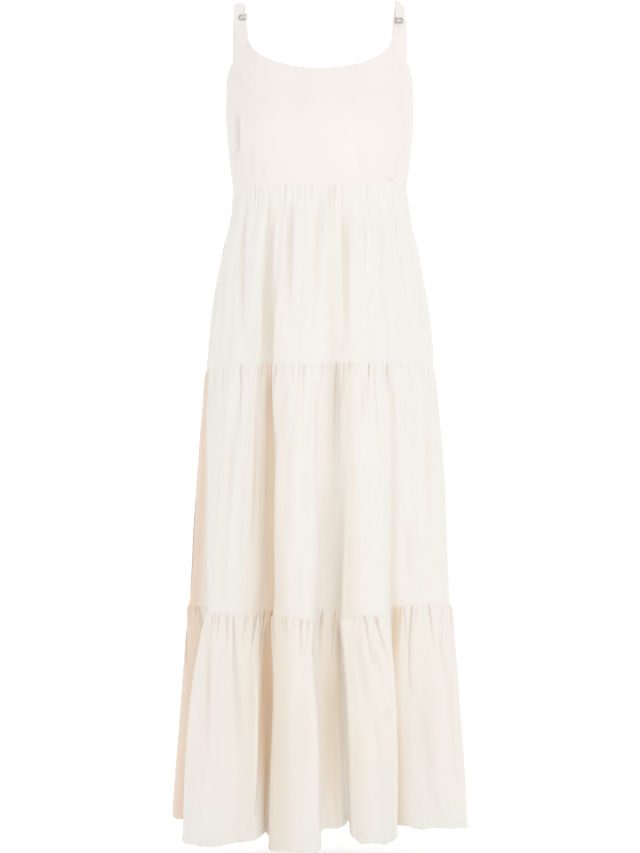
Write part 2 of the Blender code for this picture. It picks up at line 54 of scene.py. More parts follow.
# Height, half width, depth in front, depth behind and squareness
SECTIONS = np.array((
    (-0.02, 0.15, 0.047, 0.046, 2.35), (-0.064, 0.15, 0.081, 0.08, 2.35),
    (-0.104, 0.1499, 0.1, 0.09, 2.35), (UNDERARM, 0.1498, 0.112, 0.093, 2.35),
    (-0.195, 0.1497, 0.13, 0.092, 2.45), (-0.26, 0.1441, 0.119, 0.087, 2.35),
    (EMPIRE_SEAM, 0.1392, 0.108, 0.084, 2.25), (-0.335, 0.1412, 0.11, 0.087, 2.2),
    (-0.4, 0.1568, 0.122, 0.103, 2.15), (-0.48, 0.171, 0.134, 0.124, 2.15),
    (TIER_2_SEAM, 0.1818, 0.144, 0.14, 2.15), (-0.69, 0.1912, 0.153, 0.15, 2.2),
    (-0.835, 0.2016, 0.16, 0.162, 2.2), (TIER_3_SEAM, 0.2085, 0.165, 0.17, 2.3),
    (-1.03, 0.2152, 0.169, 0.177, 2.4), (-1.2, 0.229, 0.172, 0.186, 2.4),
    (HEM, 0.2355, 0.174, 0.192, 2.4),
))

# Large folds, at five heights, or one number for all. Angles are degrees from the front's middle towards
# +X, and lefts and rights are the degrees that their sides take. Depths are millimetres, less than 0 for a
# ridge. Rises are at the tier 3 seam and the hem. Tucks are how far the left and right sides lean over at
# the hem. Floor is the flat share of the bottom at the tier 3 seam, and hem_floor below it.
FOLD_HEIGHTS = (TIER_2_SEAM, -0.7, TIER_3_SEAM, -1.09, HEM)
SEAM_PLACE = 2  # the tier 3 seam's place among them, where folds may turn sharply
Fold = namedtuple("Fold", "angles lefts rights depths rises tucks floor hem_floor")
FOLDS = [Fold(*row) for row in (
    # left side
    ((-74, -73, -66, -74, -74), (18, 19, 20, 20, 20), (10, 10, 16.5, 17.5, 16), (2, 10, 32, 48, 55),
     (0, 0), (4, 4), 0.0, 0.0),
    # left front
    ((-26, -24.6, -22.3, -20.5, -19.9), (6.5, 8, 8.4, 4.3, 4.2), (5, 6.2, 5.4, 4.2, 4.1),
     (12, 23, 28, 25, 24), (3, 8), (0, 5), 0.1, 0.2),
    # front ridge
    (-8, 12, 11, (0, -1, -3, -4, -5), (-5, 2), (0, 0), 0.0, 0.2),
    # right front
    ((7, 6.6, 5.8, 6.4, 7.2), (10, 11, 12, 11, 8.4), (5, 6, 5, 5, 5.6), (5, 11, 25, 33, 30),
     (4, 28), (4, 2), 0.2, 0.6),
    # right ridge
    ((20, 19.6, 19, 18.3, 17), 13, 14, (0, 1, 6, 16, 22), (0, 3), (0, 0), 0.2, 0.2),
    # right side
    ((36, 35.6, 35, 34.5, 33.5), (8, 8, 8.6, 6.2, 5.8), (26, 32, 40, 44, 48), (1, 3, 20, 48, 58),
     (8, 12), (5, 5), 0.1, 0.1),
    # side ridge and right rear
    ((62, 62, 62, 63, 64), 24, 22, (0, 1, 3, 6, 8), (1, 6), (0, 0), 0.2, 0.2),
    ((97, 98, 99, 100, 101), 17, 16, (0, 6, 18, 34, 45), (0, 0), (3, 3), 0.0, 0.0),
    # the back's five, from the right to the left
    ((126, 127, 128, 129, 130), 14, 15, (4, 12, 30, 51, 62), (0, 0), (4, 4), 0.1, 0.1),
    ((158, 157, 156, 156, 157), 13, 14, (6, 16, 36, 62, 74), (0, 0), (5, 5), 0.1, 0.1),
    ((186, 186, 187, 186, 185), 15, 14, (4, 12, 28, 50, 62), (0, 0), (4, 4), 0.1, 0.1),
    ((213, 214, 215, 215, 214), 13, 15, (6, 16, 36, 61, 70), (0, 0), (5, 5), 0.1, 0.1),
    (243, 14, 14, (3, 10, 28, 50, 60), (0, 0), (4, 4), 0.0, 0.0),
    # left rear, which only rises
    ((-105, -105, -105, -105, -104), 22, 14, 0, (5, 16), (0, 0), 0.3, 0.3),
)]

# Gathers of the front panels: place as a percentage of the cloth's width from the left, and depth and reach
# in millimetres. The backs have them in mirror order.
TIER_1_GATHERS = (
    (5.0, 1.6, 50), (12.0, 1.8, 90), (18.5, 2.4, 130), (21.0, 1.6, 40), (23.2, 2.2, 36), (26.3, 1.8, 50),
    (29.3, 3.4, 200), (31.6, 1.8, 36), (34.0, 1.5, 28), (36.2, 1.8, 30), (38.8, 2.8, 170), (41.4, 1.5, 30),
    (44.2, 1.8, 50), (49.0, 2.2, 130), (53.0, 1.6, 34), (55.8, 1.4, 26), (59.3, 2.6, 160), (67.0, 2.0, 110),
    (69.4, 2.6, 70), (84.0, 1.8, 100), (92.0, 1.8, 80),
)
TIER_2_GATHERS = (
    (4.0, 1.8, 60), (8.4, 2.4, 60), (13.1, 2.6, 50), (18.0, 2.0, 60), (21.5, 1.6, 40), (24.7, 2.8, 76),
    (29.6, 1.8, 36), (32.0, 2.4, 50), (34.6, 3.4, 110), (38.0, 2.0, 40), (41.8, 2.0, 60), (44.6, 1.8, 36),
    (47.0, 2.0, 60), (51.2, 2.0, 120), (54.0, 1.4, 30), (56.4, 3.0, 150), (58.8, 2.6, 60), (61.0, 1.8, 40),
    (63.4, 2.6, 90), (67.2, 2.4, 100), (71.0, 3.2, 60), (73.6, 2.0, 80), (80.7, 2.0, 90), (86.0, 1.6, 60),
    (91.0, 1.8, 70), (96.0, 1.6, 50),
)
TIER_3_GATHERS = (
    (3.0, 2.2, 50), (6.5, 2.6, 60), (10.0, 2.6, 50), (14.0, 2.8, 60), (18.2, 3.0, 130), (20.8, 2.2, 50),
    (24.4, 3.0, 110), (26.8, 2.4, 60), (29.2, 2.6, 50), (31.8, 2.8, 60), (34.2, 3.0, 60), (37.0, 3.0, 50),
    (40.0, 2.6, 50), (42.8, 2.2, 40), (45.2, 2.0, 40), (47.6, 3.0, 50), (51.4, 3.0, 64), (54.2, 2.8, 80),
    (56.8, 2.4, 60), (59.4, 2.8, 70), (62.0, 2.4, 50), (66.0, 2.0, 50), (69.0, 3.0, 90), (72.0, 2.8, 50),
    (75.4, 2.6, 50), (78.6, 3.0, 60), (81.0, 2.4, 40), (83.4, 2.8, 130), (86.8, 3.0, 120), (90.5, 2.2, 60),
    (94.0, 2.4, 60), (97.2, 2.2, 50),
)
GATHER_START = 0.25  # share of a gather's depth at its seam
GATHER_RISE = 0.016  # distance below the seam at which it has its whole depth
GATHER_HOLD = 0.25  # share of its reach before it fades
GATHER_SPREAD = 0.75  # share of the way to the next gather that it takes
GATHER_POWER = 1.5
GATHER_PUFF = 0.5  # share of their depth by which the cloth between them stands out
GATHER_EDGE = 0.02  # share of a panel's width over which that begins

STRAP_WIDTH = 0.0165
BACK_STRAP_X = 0.109
BACK_STRAP_LAP = 0.016
StrapRow = namedtuple("StrapRow", "x y z turn")
SHOULDER_PATH = [StrapRow(*row) for row in (
    (0.1285, -0.0165, -0.008, 0), (0.1285, -0.0075, -0.0018, 0), (0.1285, 0.002, 0.0, 0),
    (0.1285, 0.012, -0.004, 2), (0.128, 0.0225, -0.014, 5), (0.1265, 0.033, -0.03, 9),
    (0.123, 0.045, -0.056, 15), (0.1175, 0.055, -0.086, 22), (0.112, 0.0635, -0.118, 28),
)]
FRONT_STRAP_HEIGHT = -0.05
FRONT_STRAP_SIDES = (0.1378, 0.115)
# A strap's ends at its ring: up from its middle in its plane, and behind that plane
STRAP_END = ((-0.0036, 0.0016), (-0.0056, 0.0015), (-0.008, 0.0008))
STRAP_END_SIDES = (0.1366, 0.1182)
STRAP_TAIL = ((-0.013, 0.004), (-0.007, 0.004), (0.0, 0.0034), (0.005, 0.0022))
STRAP_DROOP = 0.0016  # how far a strap's edges lie under its middle
DROOP_POWER = 2.5
# How far each strap rolls outwards, in degrees, at the rows of its tail, path and back end
STRAP_ROLLS = {
    "left": (0, 0, 0, 0, 4, 6, 6, 4, 0, 0, 0, 0, 0, 0, 0),
    "right": (0, 0, 4, 14, 30, 38, 40, 34, 24, 12, 4, 0, 0, 0, 0),
}
STRAP_ROWS = 96
STRAP_COLUMNS = 10
STRAP_SHARES = np.linspace(0.0, 1.0, STRAP_COLUMNS + 1)
STRAP_INSET = 0.00175  # from the back's outer face to the strap inside
KEEPER_WIDTH = 0.002
KEEPER_COLUMNS = 7
KEEPER_GAP = 0.0004
KEEPER_BOW = 0.0016
KEEPER_STEP = 0.001  # cloth length from row to row
# The keeper's ends, up from the bar and in front of it, and its turn round the bar in degrees and points
KEEPER_START = (-0.0022, -0.0012)
KEEPER_ENDS = ((0.003, -0.0008), (0.0062, -0.0012))
KEEPER_TURNS = (-150.0, 150.0, 15)

WIRE_RADIUS = 0.00075
WIRE_SIDES = 16
RING_WIDTH = 0.013
RING_HEIGHT = 0.0108
RING_STEPS = 64
RING_SQUARENESS = 5.0
RING_LEAN = radians(31)
RIGHT = np.array([1.0, 0.0, 0.0])
RING_UP = np.array([0.0, sin(RING_LEAN), cos(RING_LEAN)])
RING_OUT = np.array([0.0, -cos(RING_LEAN), sin(RING_LEAN)])
RingPlace = namedtuple("RingPlace", "side sign x y z tilt")
RINGS = (
    RingPlace("left", -1.0, -0.1215, -0.03, -0.029, 12),
    RingPlace("right", 1.0, 0.125, -0.0335, -0.035, 2),
)

# ---- creases, placed one by one

# Place and drift are percentages of the cloth's width, at the crease's top and from there to its bottom. The
# rest is millimetres: top and bottom below the seam, depth, less than 0 for a ridge, and width on each side.
Crease = namedtuple("Crease", "place drift top bottom depth width")
TIER_1_CREASES = (
    (14.6, -0.6, 0, 30, 1.2, 3), (16.6, 0.4, 2, 24, -0.6, 3), (17.8, 8.0, 14, 262, 2.8, 7),
    (21.3, 0.3, 0, 34, 1.2, 3), (23.1, 0.4, 0, 34, 1.6, 2.5), (26.7, 0.2, 0, 26, 1.0, 3),
    (30.4, 3.0, 10, 275, 4.4, 8), (32.4, 4.6, 30, 250, -1.6, 7), (33.7, 0.5, 0, 30, 1.0, 2.5),
    (36.2, 0.4, 0, 40, 1.2, 3), (38.4, 3.2, 16, 240, 2.8, 6), (40.9, 0.3, 0, 40, 1.2, 3),
    (44.1, 0.3, 0, 44, 1.6, 3), (47.0, 0.2, 2, 30, 1.0, 3), (49.8, -1.2, 0, 250, 1.8, 7),
    (53.2, 0.3, 2, 32, 1.0, 3), (55.9, -0.3, 0, 40, 1.2, 3), (59.0, -0.2, 0, 70, 1.8, 3),
    (59.6, -1.6, 30, 268, 3.4, 6), (62.4, -1.6, 20, 150, -1.2, 8), (67.0, -3.0, 30, 170, 1.2, 3),
    (69.0, -0.8, 0, 58, 2.0, 3), (74.6, -4.6, 18, 220, 0.9, 7), (81.2, 0.2, 0, 26, 0.9, 3),
    (82.4, -4.4, 34, 110, 1.0, 3.5), (80.8, -1.8, 108, 136, 1.2, 3), (90.2, -5.8, 130, 250, 0.8, 9),
    (6.4, -1.6, 0, 60, 1.0, 4), (10.4, 7.4, 80, 240, 0.8, 9), (11.4, -0.6, 0, 40, 0.8, 3),
)
TIER_2_CREASES = (
    (13.0, 1.4, 4, 40, 2.2, 3.5), (17.8, 1.2, 4, 60, 1.4, 4), (24.4, 1.4, 0, 90, 2.0, 3.5),
    (23.2, 1.2, 4, 60, -1.0, 4), (27.3, 0.3, 4, 30, 1.2, 3), (30.0, 0.3, 0, 16, 1.0, 2.5),
    (32.2, 0.3, 0, 18, 1.4, 2.5), (35.0, 2.6, 0, 90, 2.4, 3.5), (38.0, 0.6, 4, 36, 1.2, 3),
    (41.2, 2.4, 12, 180, 1.4, 7), (42.7, 1.4, 0, 28, 1.4, 3), (45.0, 0.3, 0, 28, 1.4, 2.5),
    (46.4, 0.8, 4, 80, 1.4, 3.5), (48.5, 0.2, 8, 26, 0.8, 2.5), (50.6, 1.2, 20, 170, 1.0, 7),
    (53.6, 2.0, 150, 370, 1.2, 9), (51.8, 0.1, 0, 16, 1.0, 2.5), (55.8, 0.6, 0, 120, 2.0, 4),
    (58.0, 0.4, 0, 50, 1.4, 3), (59.8, 0.1, 0, 12, 0.8, 2.5), (61.4, 0.1, 0, 18, 1.0, 2.5),
    (63.8, 0.6, 8, 110, 1.6, 4), (65.4, 0.2, 0, 24, 1.6, 2.5), (67.2, 1.6, 4, 100, 1.2, 3),
    (71.2, 0.3, 0, 44, 2.4, 3), (73.0, 0.8, 34, 110, 1.2, 4), (78.0, 1.8, 230, 380, 1.4, 9),
    (80.0, -0.4, 16, 50, 1.0, 3), (22.2, 1.2, 90, 260, 1.2, 8), (10.4, 7.4, 90, 360, 1.2, 10),
    (86.2, -0.6, 20, 370, 0.8, 9), (8.4, 1.6, 0, 70, 1.6, 4), (91.0, -0.8, 0, 60, 1.0, 4),
    (95.4, -0.4, 0, 80, 1.0, 5), (4.0, 0.6, 0, 90, 1.4, 5), (83.4, 1.2, 40, 220, -0.8, 9),
)
TIER_3_CREASES = (
    (14.2, 0.8, 4, 60, 1.8, 3.5), (19.3, 2.6, 6, 250, 2.8, 7), (20.4, -0.5, 0, 24, 1.4, 3),
    (26.2, 0.8, 0, 70, 2.4, 4), (26.6, 2.6, 24, 250, 2.8, 7), (24.4, 0.4, 0, 30, 1.4, 3),
    (29.6, -0.6, 0, 24, 1.4, 3), (32.2, -1.8, 2, 60, 1.8, 3), (34.6, -1.8, 2, 60, 2.0, 3),
    (36.4, -0.8, 0, 50, 1.8, 3), (38.4, 0.4, 0, 50, 1.8, 3), (41.2, 0.4, 0, 50, 1.8, 3),
    (44.2, -0.6, 0, 30, 1.0, 3), (47.6, -0.8, 0, 44, 2.0, 3), (49.2, -1.0, 0, 36, 1.4, 3),
    (52.8, -1.8, 0, 44, 2.2, 3), (54.4, -0.6, 0, 70, 2.0, 3.5), (57.4, -1.2, 0, 70, 1.6, 3.5),
    (60.0, -1.0, 0, 60, 1.8, 3.5), (64.8, 2.2, 8, 200, 2.2, 6), (66.2, 2.2, 2, 66, 1.8, 5),
    (67.6, 2.4, 30, 120, 1.6, 4), (68.6, 3.4, 2, 66, 2.0, 3.5), (72.2, 1.2, 8, 30, 1.4, 3),
    (69.2, 2.0, 140, 190, 1.2, 5), (74.4, -0.6, 10, 52, 2.0, 3), (76.8, 1.6, 0, 60, 1.8, 3),
    (77.8, 3.2, 2, 60, 1.8, 3), (82.2, 2.8, 2, 50, -1.4, 3), (80.0, 3.2, 2, 130, 2.4, 4.6),
    (84.8, 3.0, 0, 60, 2.4, 3), (88.2, 2.6, 36, 135, 1.8, 6), (86.4, 2.4, 300, 352, 1.2, 4),
    (90.0, 0.4, 318, 346, 1.0, 4), (94.0, 0.8, 0, 70, 1.4, 4), (10.0, 1.0, 2, 60, 1.6, 4),
    (6.5, 0.6, 0, 70, 1.6, 4), (2.8, 0.2, 0, 50, 1.6, 4), (97.2, -0.4, 0, 60, 1.2, 4),
    (56.0, -1.6, 90, 330, 1.2, 9), (45.4, 0.8, 80, 320, 0.9, 12), (50.6, -0.8, 120, 350, -0.8, 10),
    (91.6, 1.2, 60, 340, 1.0, 14), (84.6, 1.6, 130, 330, 1.2, 9), (71.6, -0.8, 160, 350, 1.0, 10),
)
# Creases of the front bodice: across and height of both ends, depth and width, in millimetres
BODICE_CREASES = (
    (-130, -176, -128, -266, 4.0, 4.0), (-121, -180, -119, -262, -1.4, 5), (-112, -74, -118, -98, 0.9, 3),
    (-106, -80, -110, -104, 0.8, 3), (-100, -86, -103, -104, 0.6, 3), (-120, -84, -126, -110, 0.7, 3.5),
    (113, -76, 120, -104, 0.8, 4), (121, -96, 132, -128, 0.8, 4), (-134, -118, -120, -150, 0.9, 6),
    (-92, -262, -86, -306, 0.8, 6), (-108, -238, -104, -302, 1.0, 6), (-70, -226, -74, -300, 0.5, 9),
    (98, -293, 127, -305, 1.8, 2.2), (124, -244, 118, -298, 0.8, 6), (-138, -200, -134, -290, 0.8, 7),
    (134, -176, 130, -270, 0.8, 7), (60, -240, 66, -300, 0.4, 10), (-20, -250, -18, -304, 0.35, 10),
)
# Small puckers between them: the stretch of the cloth's width that they lie in, as percentages, and how
# many. Their depths, reaches and widths are drawn between these limits, in millimetres.
TIER_1_PUCKERS = ((2, 16, 5), (16, 60, 34), (60, 76, 6), (76, 98, 6))
TIER_2_PUCKERS = ((2, 22, 9), (22, 62, 30), (62, 80, 12), (80, 98, 7))
TIER_3_PUCKERS = ((1, 40, 34), (40, 62, 16), (62, 86, 24), (86, 99, 10))
PUCKER_DEPTHS = (0.5, 1.7)
PUCKER_REACHES = (10, 60)
PUCKER_WIDTHS = (1.2, 2.8)
PUCKER_DRIFT = 0.35  # spread of their drifts
BACK_SPREAD = 0.6  # spread of the back's creases about mirrored places
BACK_SEED = 100

# Cut is the width of a panel's cloth and puff is how far it rounds out below its seam. Slack and pinch are
# shares of its unevenness and its pinches.
Tier = namedtuple("Tier", "name above top bottom gathers creases puckers columns cut puff slack pinch seed")
TIERS = (
    Tier("tier1", "bodice", EMPIRE_SEAM, TIER_2_SEAM, TIER_1_GATHERS, TIER_1_CREASES, TIER_1_PUCKERS,
         560, 0.53, 0.0008, 0.9, 0.66, 11),
    Tier("tier2", "tier1", TIER_2_SEAM, TIER_3_SEAM, TIER_2_GATHERS, TIER_2_CREASES, TIER_2_PUCKERS,
         760, 0.73, 0.0012, 1.2, 1.2, 12),
    Tier("tier3", "tier2", TIER_3_SEAM, HEM, TIER_3_GATHERS, TIER_3_CREASES, TIER_3_PUCKERS,
         1020, 1.06, 0.0024, 1.4, 1.65, 13),
)

# How far the seams and the hem rise, in millimetres at these degrees from the front's middle
RISE_ANGLES = (
    -180, -125, -100, -84, -75, -66, -57, -40, -33, -26, -22, -18, -8,
    0, 10, 12, 16, 25, 30, 34, 40, 50, 62, 90, 125, 180,
)
RISE_HEIGHTS = (EMPIRE_SEAM, TIER_2_SEAM, TIER_3_SEAM, HEM)
RISES = (
    (0, 0, -1, -2, 1, 5, 6, 5.5, 5, 5, 5, 5, 4.8, 4.6, 5, 5.2, 5.4, 5.8, 6, 6.5, 7.5, 7.5, 4.5, 3, 0, 0),
    (0, 0, -4, -5, -5, -3, 1, 3, 4, 5, 5, 5, 5, 5, 5, 5, 5, 5, 5, 5, 5, 4, 3, 0, 0, 0),
    (0, 2, 5, 6, 3, -3, 1, 1, 1, 3, 3, 3, 3, 3, 2.4, 2.2, 2, 1.4, 1, 4, 4, 4, 6, 7, 3, 0),
    (0, 4, 18, 22, 16, 5, 3, 5, 14, 19, 22, 6, 4.6, 4, 2, 20, 7, 8, 26, 14, 9, 0, 5, 13, 6, 0),
)
BODICE_RISE_TOP = -0.195  # where the bodice starts to rise with its seam

# Painted shade in the folds and on the ridges' flanks: how far each paints the cloth a warm shade, less
# than 0 for a rosy painted shade, and how far it paints it dim. Angles, lefts and rights are as in the
# folds' table, at the tier 2 seam, the tier 3 seam and the hem, and strengths are at their own heights.
SHADE_AND_RISE_HEIGHTS = (TIER_2_SEAM, TIER_3_SEAM, HEM)
STRENGTH_HEIGHTS = (EMPIRE_SEAM, TIER_2_SEAM, -0.591, TIER_3_SEAM, -0.973, PUFF_HEIGHT, -1.11, -1.2, HEM)
PaintedShade = namedtuple("PaintedShade", "warm dim angles lefts rights strengths")
PAINTED_SHADES = [PaintedShade(*row) for row in (
    # left front
    (1, 0, (-25.5, -22, -19.5), (4, 5, 3.8), 4, (0, 0.05, 0.7, 0.8, 0.95, 1.0, 1.2, 1.06, 0.46)),
    (0, 1, (-27, -22.5, -19.4), (5, 4.5, 3.6), 4, (0.02, 0.26, 0.08, 0, 0.2, 0, 0.26, 0.14, 0)),
    # right front
    (1, 0, (7, 7, 6), (6, 9, 8), 5, (0, 0, 0.05, 0.1, 0.22, 0.28, 0.5, 0.48, 0.24)),
    (0, 1, (7, 7, 4.5), (6, 8, 6), 5, (0.05, 0.14, 0.32, 0.36, 0.26, 0.14, 0.27, 0.2, 0.04)),
    # right side
    (1, 0, (36, 35, 34), (2, 3, 2), (3, 6, 12), (0, 0, 0, 0.15, 0.85, 0.8, 0.34, 0.98, 0.5)),
    (0, 1, (35, 34, 33), (2, 3, 2), (3, 5, 12), (0, 0.06, 0.14, 0.26, 0.6, 0.58, 0.24, 0.8, 0.64)),
    # left side, with a rosy painted shade where it turns away at the rear
    (-1, 0, (-78, -80, -84), (34, 38, 34), (8, 10, 8), (0, 0.2, 0.7, 1.0, 1.0, 1.0, 1.0, 1.0, 0.95)),
    (0, 1, (-78, -72, -74), 20, 8, (0, 0, 0, 0, 0.08, 0.14, 0.26, 0.12, 0.04)),
    # first ridge: painted shade on its side beside the left front fold
    (0.45, 0.55, (-28, -26.5, -25.5), (8, 10, 12), 2, (0, 0.2, 0.28, 0.42, 0.3, 0.26, 0.3, 0.24, 0.16)),
    # second ridge: painted shade on its left flank, as if lit from the right
    (0.45, 0.55, (-22, -19, -17.4), 2, (9, 10, 13), (0, 0.12, 0.16, 0.44, 0.52, 0.5, 0.54, 0.6, 0.44)),
    # third ridge: painted shade on its left flank, as if lit from the right
    (0.45, 0.55, (12, 11.5, 12.5), 2, (7, 8, 9), (0, 0.15, 0.28, 0.34, 0.16, 0.18, 0.2, 0.34, 0.32)),
    # back 2
    (1, 0, (158, 156, 157), (7, 8, 10), (5, 6, 6), (0, 0.1, 0.2, 0.4, 0.5, 0.5, 0.46, 0.41, 0.35)),
    # back 3
    (1, 0, (186, 187, 185), (6, 7, 7), (8, 8, 9), (0, 0.1, 0.15, 0.3, 0.4, 0.4, 0.37, 0.34, 0.3)),
    # back 4
    (1, 0, (213, 215, 214), (6, 7, 8), (7, 8, 9), (0, 0.1, 0.2, 0.4, 0.5, 0.5, 0.46, 0.41, 0.35)),
)]
# Painted warm shade over all the cloth, stronger lower down and none at the hem, at the strength heights
BASE_PAINTED_WARMTH = (0.0, 0.0, 0.01, 0.05, 0.1, 0.12, 0.12, 0.11, 0.0)  # of all the cloth, at the same heights

# ---- relief, sewing and cloth sizes

ANGLE_COUNT = 2401  # of the points that a half section is measured with
QUARTER_COUNT = 721
PINCH_TOP = 4  # a crease that starts this near the seam and is under this width is a pinch
PINCH_WIDTH = 5.5
PINCH_STRETCH = 1.35
PINCH_START = 0.25  # share of a pinch's depth at the seam
PINCH_RISE = 0.007  # distance below it at which it has its whole depth
PINCH_NARROW = 0.38  # share of its width at the seam
PINCH_WIDEN = 0.6  # and what is added on its way down
PINCH_TIP = 0.2  # roundness of its line, in widths
SHOULDER = 0.22  # a pinch's shoulders: height as a share of its depth, place and width in widths
SHOULDER_PLACE = 2.4
SHOULDER_WIDTH = 1.1
SOFT = 1.7  # what the other creases' depths are multiplied by
SOFT_RISE = 0.3  # share of their length over which they deepen
SOFT_HOLD = 0.4  # share of their length after which they fade
LIP = 0.55
LIP_FADE = 0.7
# Painted shade along the creases: for each millimetre of a pinch's depth, how fast it fades from its line, and
# for the soft creases
PINCH_SHADE = 0.22  # for each millimetre of depth
PINCH_SHADE_FADE = 2.2
SOFT_SHADE = 0.045
RELIEF_MOST = 0.005
# The most painted shade that creases give the cloth, and the bodice's painted shade for its crease depth
CREASE_MOST = 0.55  # the most that a crease shades the cloth
BODICE_CREASE_SHADING = 90.0  # shade for each metre that the bodice is creased inward
SIDE_SEAM = 0.014  # share of a panel's width over which relief dies out at a side
BODICE_SIDE = 0.1  # radians over which the bodice's relief does
BODICE_FADE = 0.35  # share of a crease's length over which it begins and ends

# The hanging cloth's unevenness: number of waves, least and most across a panel, how many they lean over by
# at most on their way down, and height
SWELLS = ((7, 3.0, 9.0, 0.5, 0.0022), (12, 9.0, 26.0, 0.8, 0.0012), (16, 26.0, 60.0, 1.0, 0.00028))
SWELL_BEATS = (0.2, 0.9)
SLACK_START = 0.12  # share of a panel's length over which it begins
# The bodice's own: seed, share of the height, and top and height of its stretch
FRONT_SLACK = (21, 0.12, -0.06, 0.25)
BACK_SLACK = (31, 0.25, -0.13, 0.18)
SLACK_LEFT = 0.15
SLACK_ACROSS = 0.6
SLACK_LIMITS = (0.02, 0.98)

PUFF_RISE = 0.006
PUFF_HOLD = 0.01
PUFF_FADE = 0.05
SEAM_ALLOWANCE = 0.008  # a gathered panel's top edge inside the panel above
SEAM_TUCK = 0.0006  # how far in a gathered panel leaves the seam
SEAM_HIDDEN = 0.002  # distance above the seam from which it is on its way out
SEAM_TURN = 0.0022  # and how long that takes
SEAM_BAND = 0.0002  # how far the allowance inside lifts the panel above
SEAM_BAND_HEIGHT = 0.007
SEAM_BAND_FADE = 0.004
FOOT_CALM = 0.024  # distance above a seam over which relief dies out
SEAM_WAVER = 0.00015
HEM_WAVER = 0.0002
WAVER_REACH = 0.012
WAVER_SEED = 7
BODICE_SEED = 5
FOOT_WAVES = (14.0, 46.0, 8)  # least and most across a panel, and their number
HEM_WAVES = (55.0, 150.0, 9)
ROPING_LEAN = 160.0
ROPING = 0.0001
HEM_THICKNESS = 0.0003
HEM_EDGE = 0.002
HEM_STITCH_HEIGHT = 0.0085
STITCH_DIP = 0.0005
STITCH_DIP_WIDTH = 0.0014
FOLD_RADIUS = 0.0008
STRAP_ALLOWANCE = 0.0022
# Turned-in edges: radius and allowance
NARROW_FOLD = (FOLD_RADIUS, STRAP_ALLOWANCE)
TOP_FOLD = (FOLD_RADIUS, 0.006)
SEAM_FOLD = (0.0003, 0.006)
HEM_FOLD = (FOLD_RADIUS, 0.01)
STITCH_LENGTH = 0.0021
STITCH_PITCH = 0.003
STITCH_RADIUS = 0.00022
STITCH_SIDES = 5
STITCH_SINK = 0.3  # radii
# Rings of a stitch: shares of its length and radius, and lift in radii
STITCH_RINGS = ((0.0, 0.35, 0.0), (0.25, 1.0, 0.75), (0.5, 1.0, 1.0), (0.75, 1.0, 0.75), (1.0, 0.35, 0.0))

ARMHOLE_STEPS = 12
NECK_STEPS = 52
BODICE_ROWS = 64
BACK_COLUMNS = 140
STRAP_END_ROWS = 8
STRAP_FRONT_ROWS = 14
TURN_STEPS = 5
TURN_SHARES = (0.4, 1.0)  # of the allowance, at an edge's last rows
# Steps from row to row: at the seam and growing away from it, the longest, and those at the foot
FIRST_STEP = 0.0012
STEP_GROWTH = 0.06
LONGEST_STEP = 0.008
FOOT_STEP = 0.0014
FOOT_GROWTH = 0.2

# ---- colours, view and light

# Each cloth's own colour, with the colours of the warm and rosy painted shade in its folds, and the painted
# shade in creases
Tint = namedtuple("Tint", "name plain deep rosy")
BODICE_IVORY = Tint("bodice_weave", (0.905, 0.866, 0.826), (0.8, 0.7, 0.6), (0.8, 0.7, 0.6))
SKIRT_IVORY = Tint("skirt_weave", (0.9, 0.876, 0.832), (0.93, 0.745, 0.56), (0.875, 0.69, 0.56))
PAINTED_CREASE_SHADE = (0.66, 0.55, 0.43)
THREADS = ((0.8, 0.76, 0.7), (0.9, 0.87, 0.82))
WIRES = ((0.4, 0.39, 0.38), (0.52, 0.51, 0.5))
FLOORS = ((0.93, 0.93, 0.93), (0.96, 0.96, 0.96))
WHITE = (1.0, 1.0, 1.0, 1.0)
THREAD_PITCH = 0.00062
SLUB_FINE = 1500.0  # changes for each metre across a thread, and along it
SLUB_LONG = 70.0

CAMERA_DISTANCE = 3.1
CAMERA_HEIGHT = -0.678
CAMERA_SIDE = 0.0003
FOCAL_PIXELS = 1937.5
IMAGE_HEIGHT = 853
SENSOR = 36.0
FLOOR_HEIGHT = -1.4
FLOOR_HALF = 30.0
FLOOR_GLOW = 0.13
WORLD_FRONT = 0.63
WORLD_SIDE = 0.48
WORLD_BACK = 1.2
WORLD_ABOVE = 0.34
LIGHT_TARGET = (0.0, 0.0, -0.7)
# Name, place, size and watts
LIGHTS = (("key", (1.25, -2.7, 1.5), 1.0, 16.0), ("fill", (-2.2, -2.4, -0.2), 1.8, 2.0))


# ---- the part's form


def smooth_step(x):
    x = np.clip(x, 0.0, 1.0)
    return x * x * (3.0 - 2.0 * x)


def unit(vectors):
    return vectors / np.maximum(np.linalg.norm(vectors, axis=-1, keepdims=True), TINY)


def run_lengths(line):
    """Distances along a line of points."""
    return np.concatenate([[0.0], np.cumsum(np.linalg.norm(np.diff(line, axis=0), axis=1))])


def at_places(at, places, rows):
    """Rows of values at given places, straight between the rows."""
    return np.stack([np.interp(at, places, column) for column in rows.T], axis=-1)


def at_height(height, heights, values):
    """A value at a height, from those at heights from the top down, or from one number for all."""
    return np.interp(-height, np.negative(heights), np.broadcast_to(values, len(heights)))


def through(places, values, at):
    """A smooth curve through values at rising places."""
    places = np.asarray(places, float)
    values = np.asarray(values, float)
    slopes = np.gradient(values, places)
    at = np.clip(at, places[0], places[-1])
    i = np.clip(np.searchsorted(places, at) - 1, 0, len(places) - 2)
    span = places[i + 1] - places[i]
    s = (at - places[i]) / span
    ends = values[i] * (2 * s**3 - 3 * s**2 + 1) + values[i + 1] * (3 * s**2 - 2 * s**3)
    return ends + span * (slopes[i] * (s**3 - 2 * s**2 + s) + slopes[i + 1] * (s**3 - s**2))


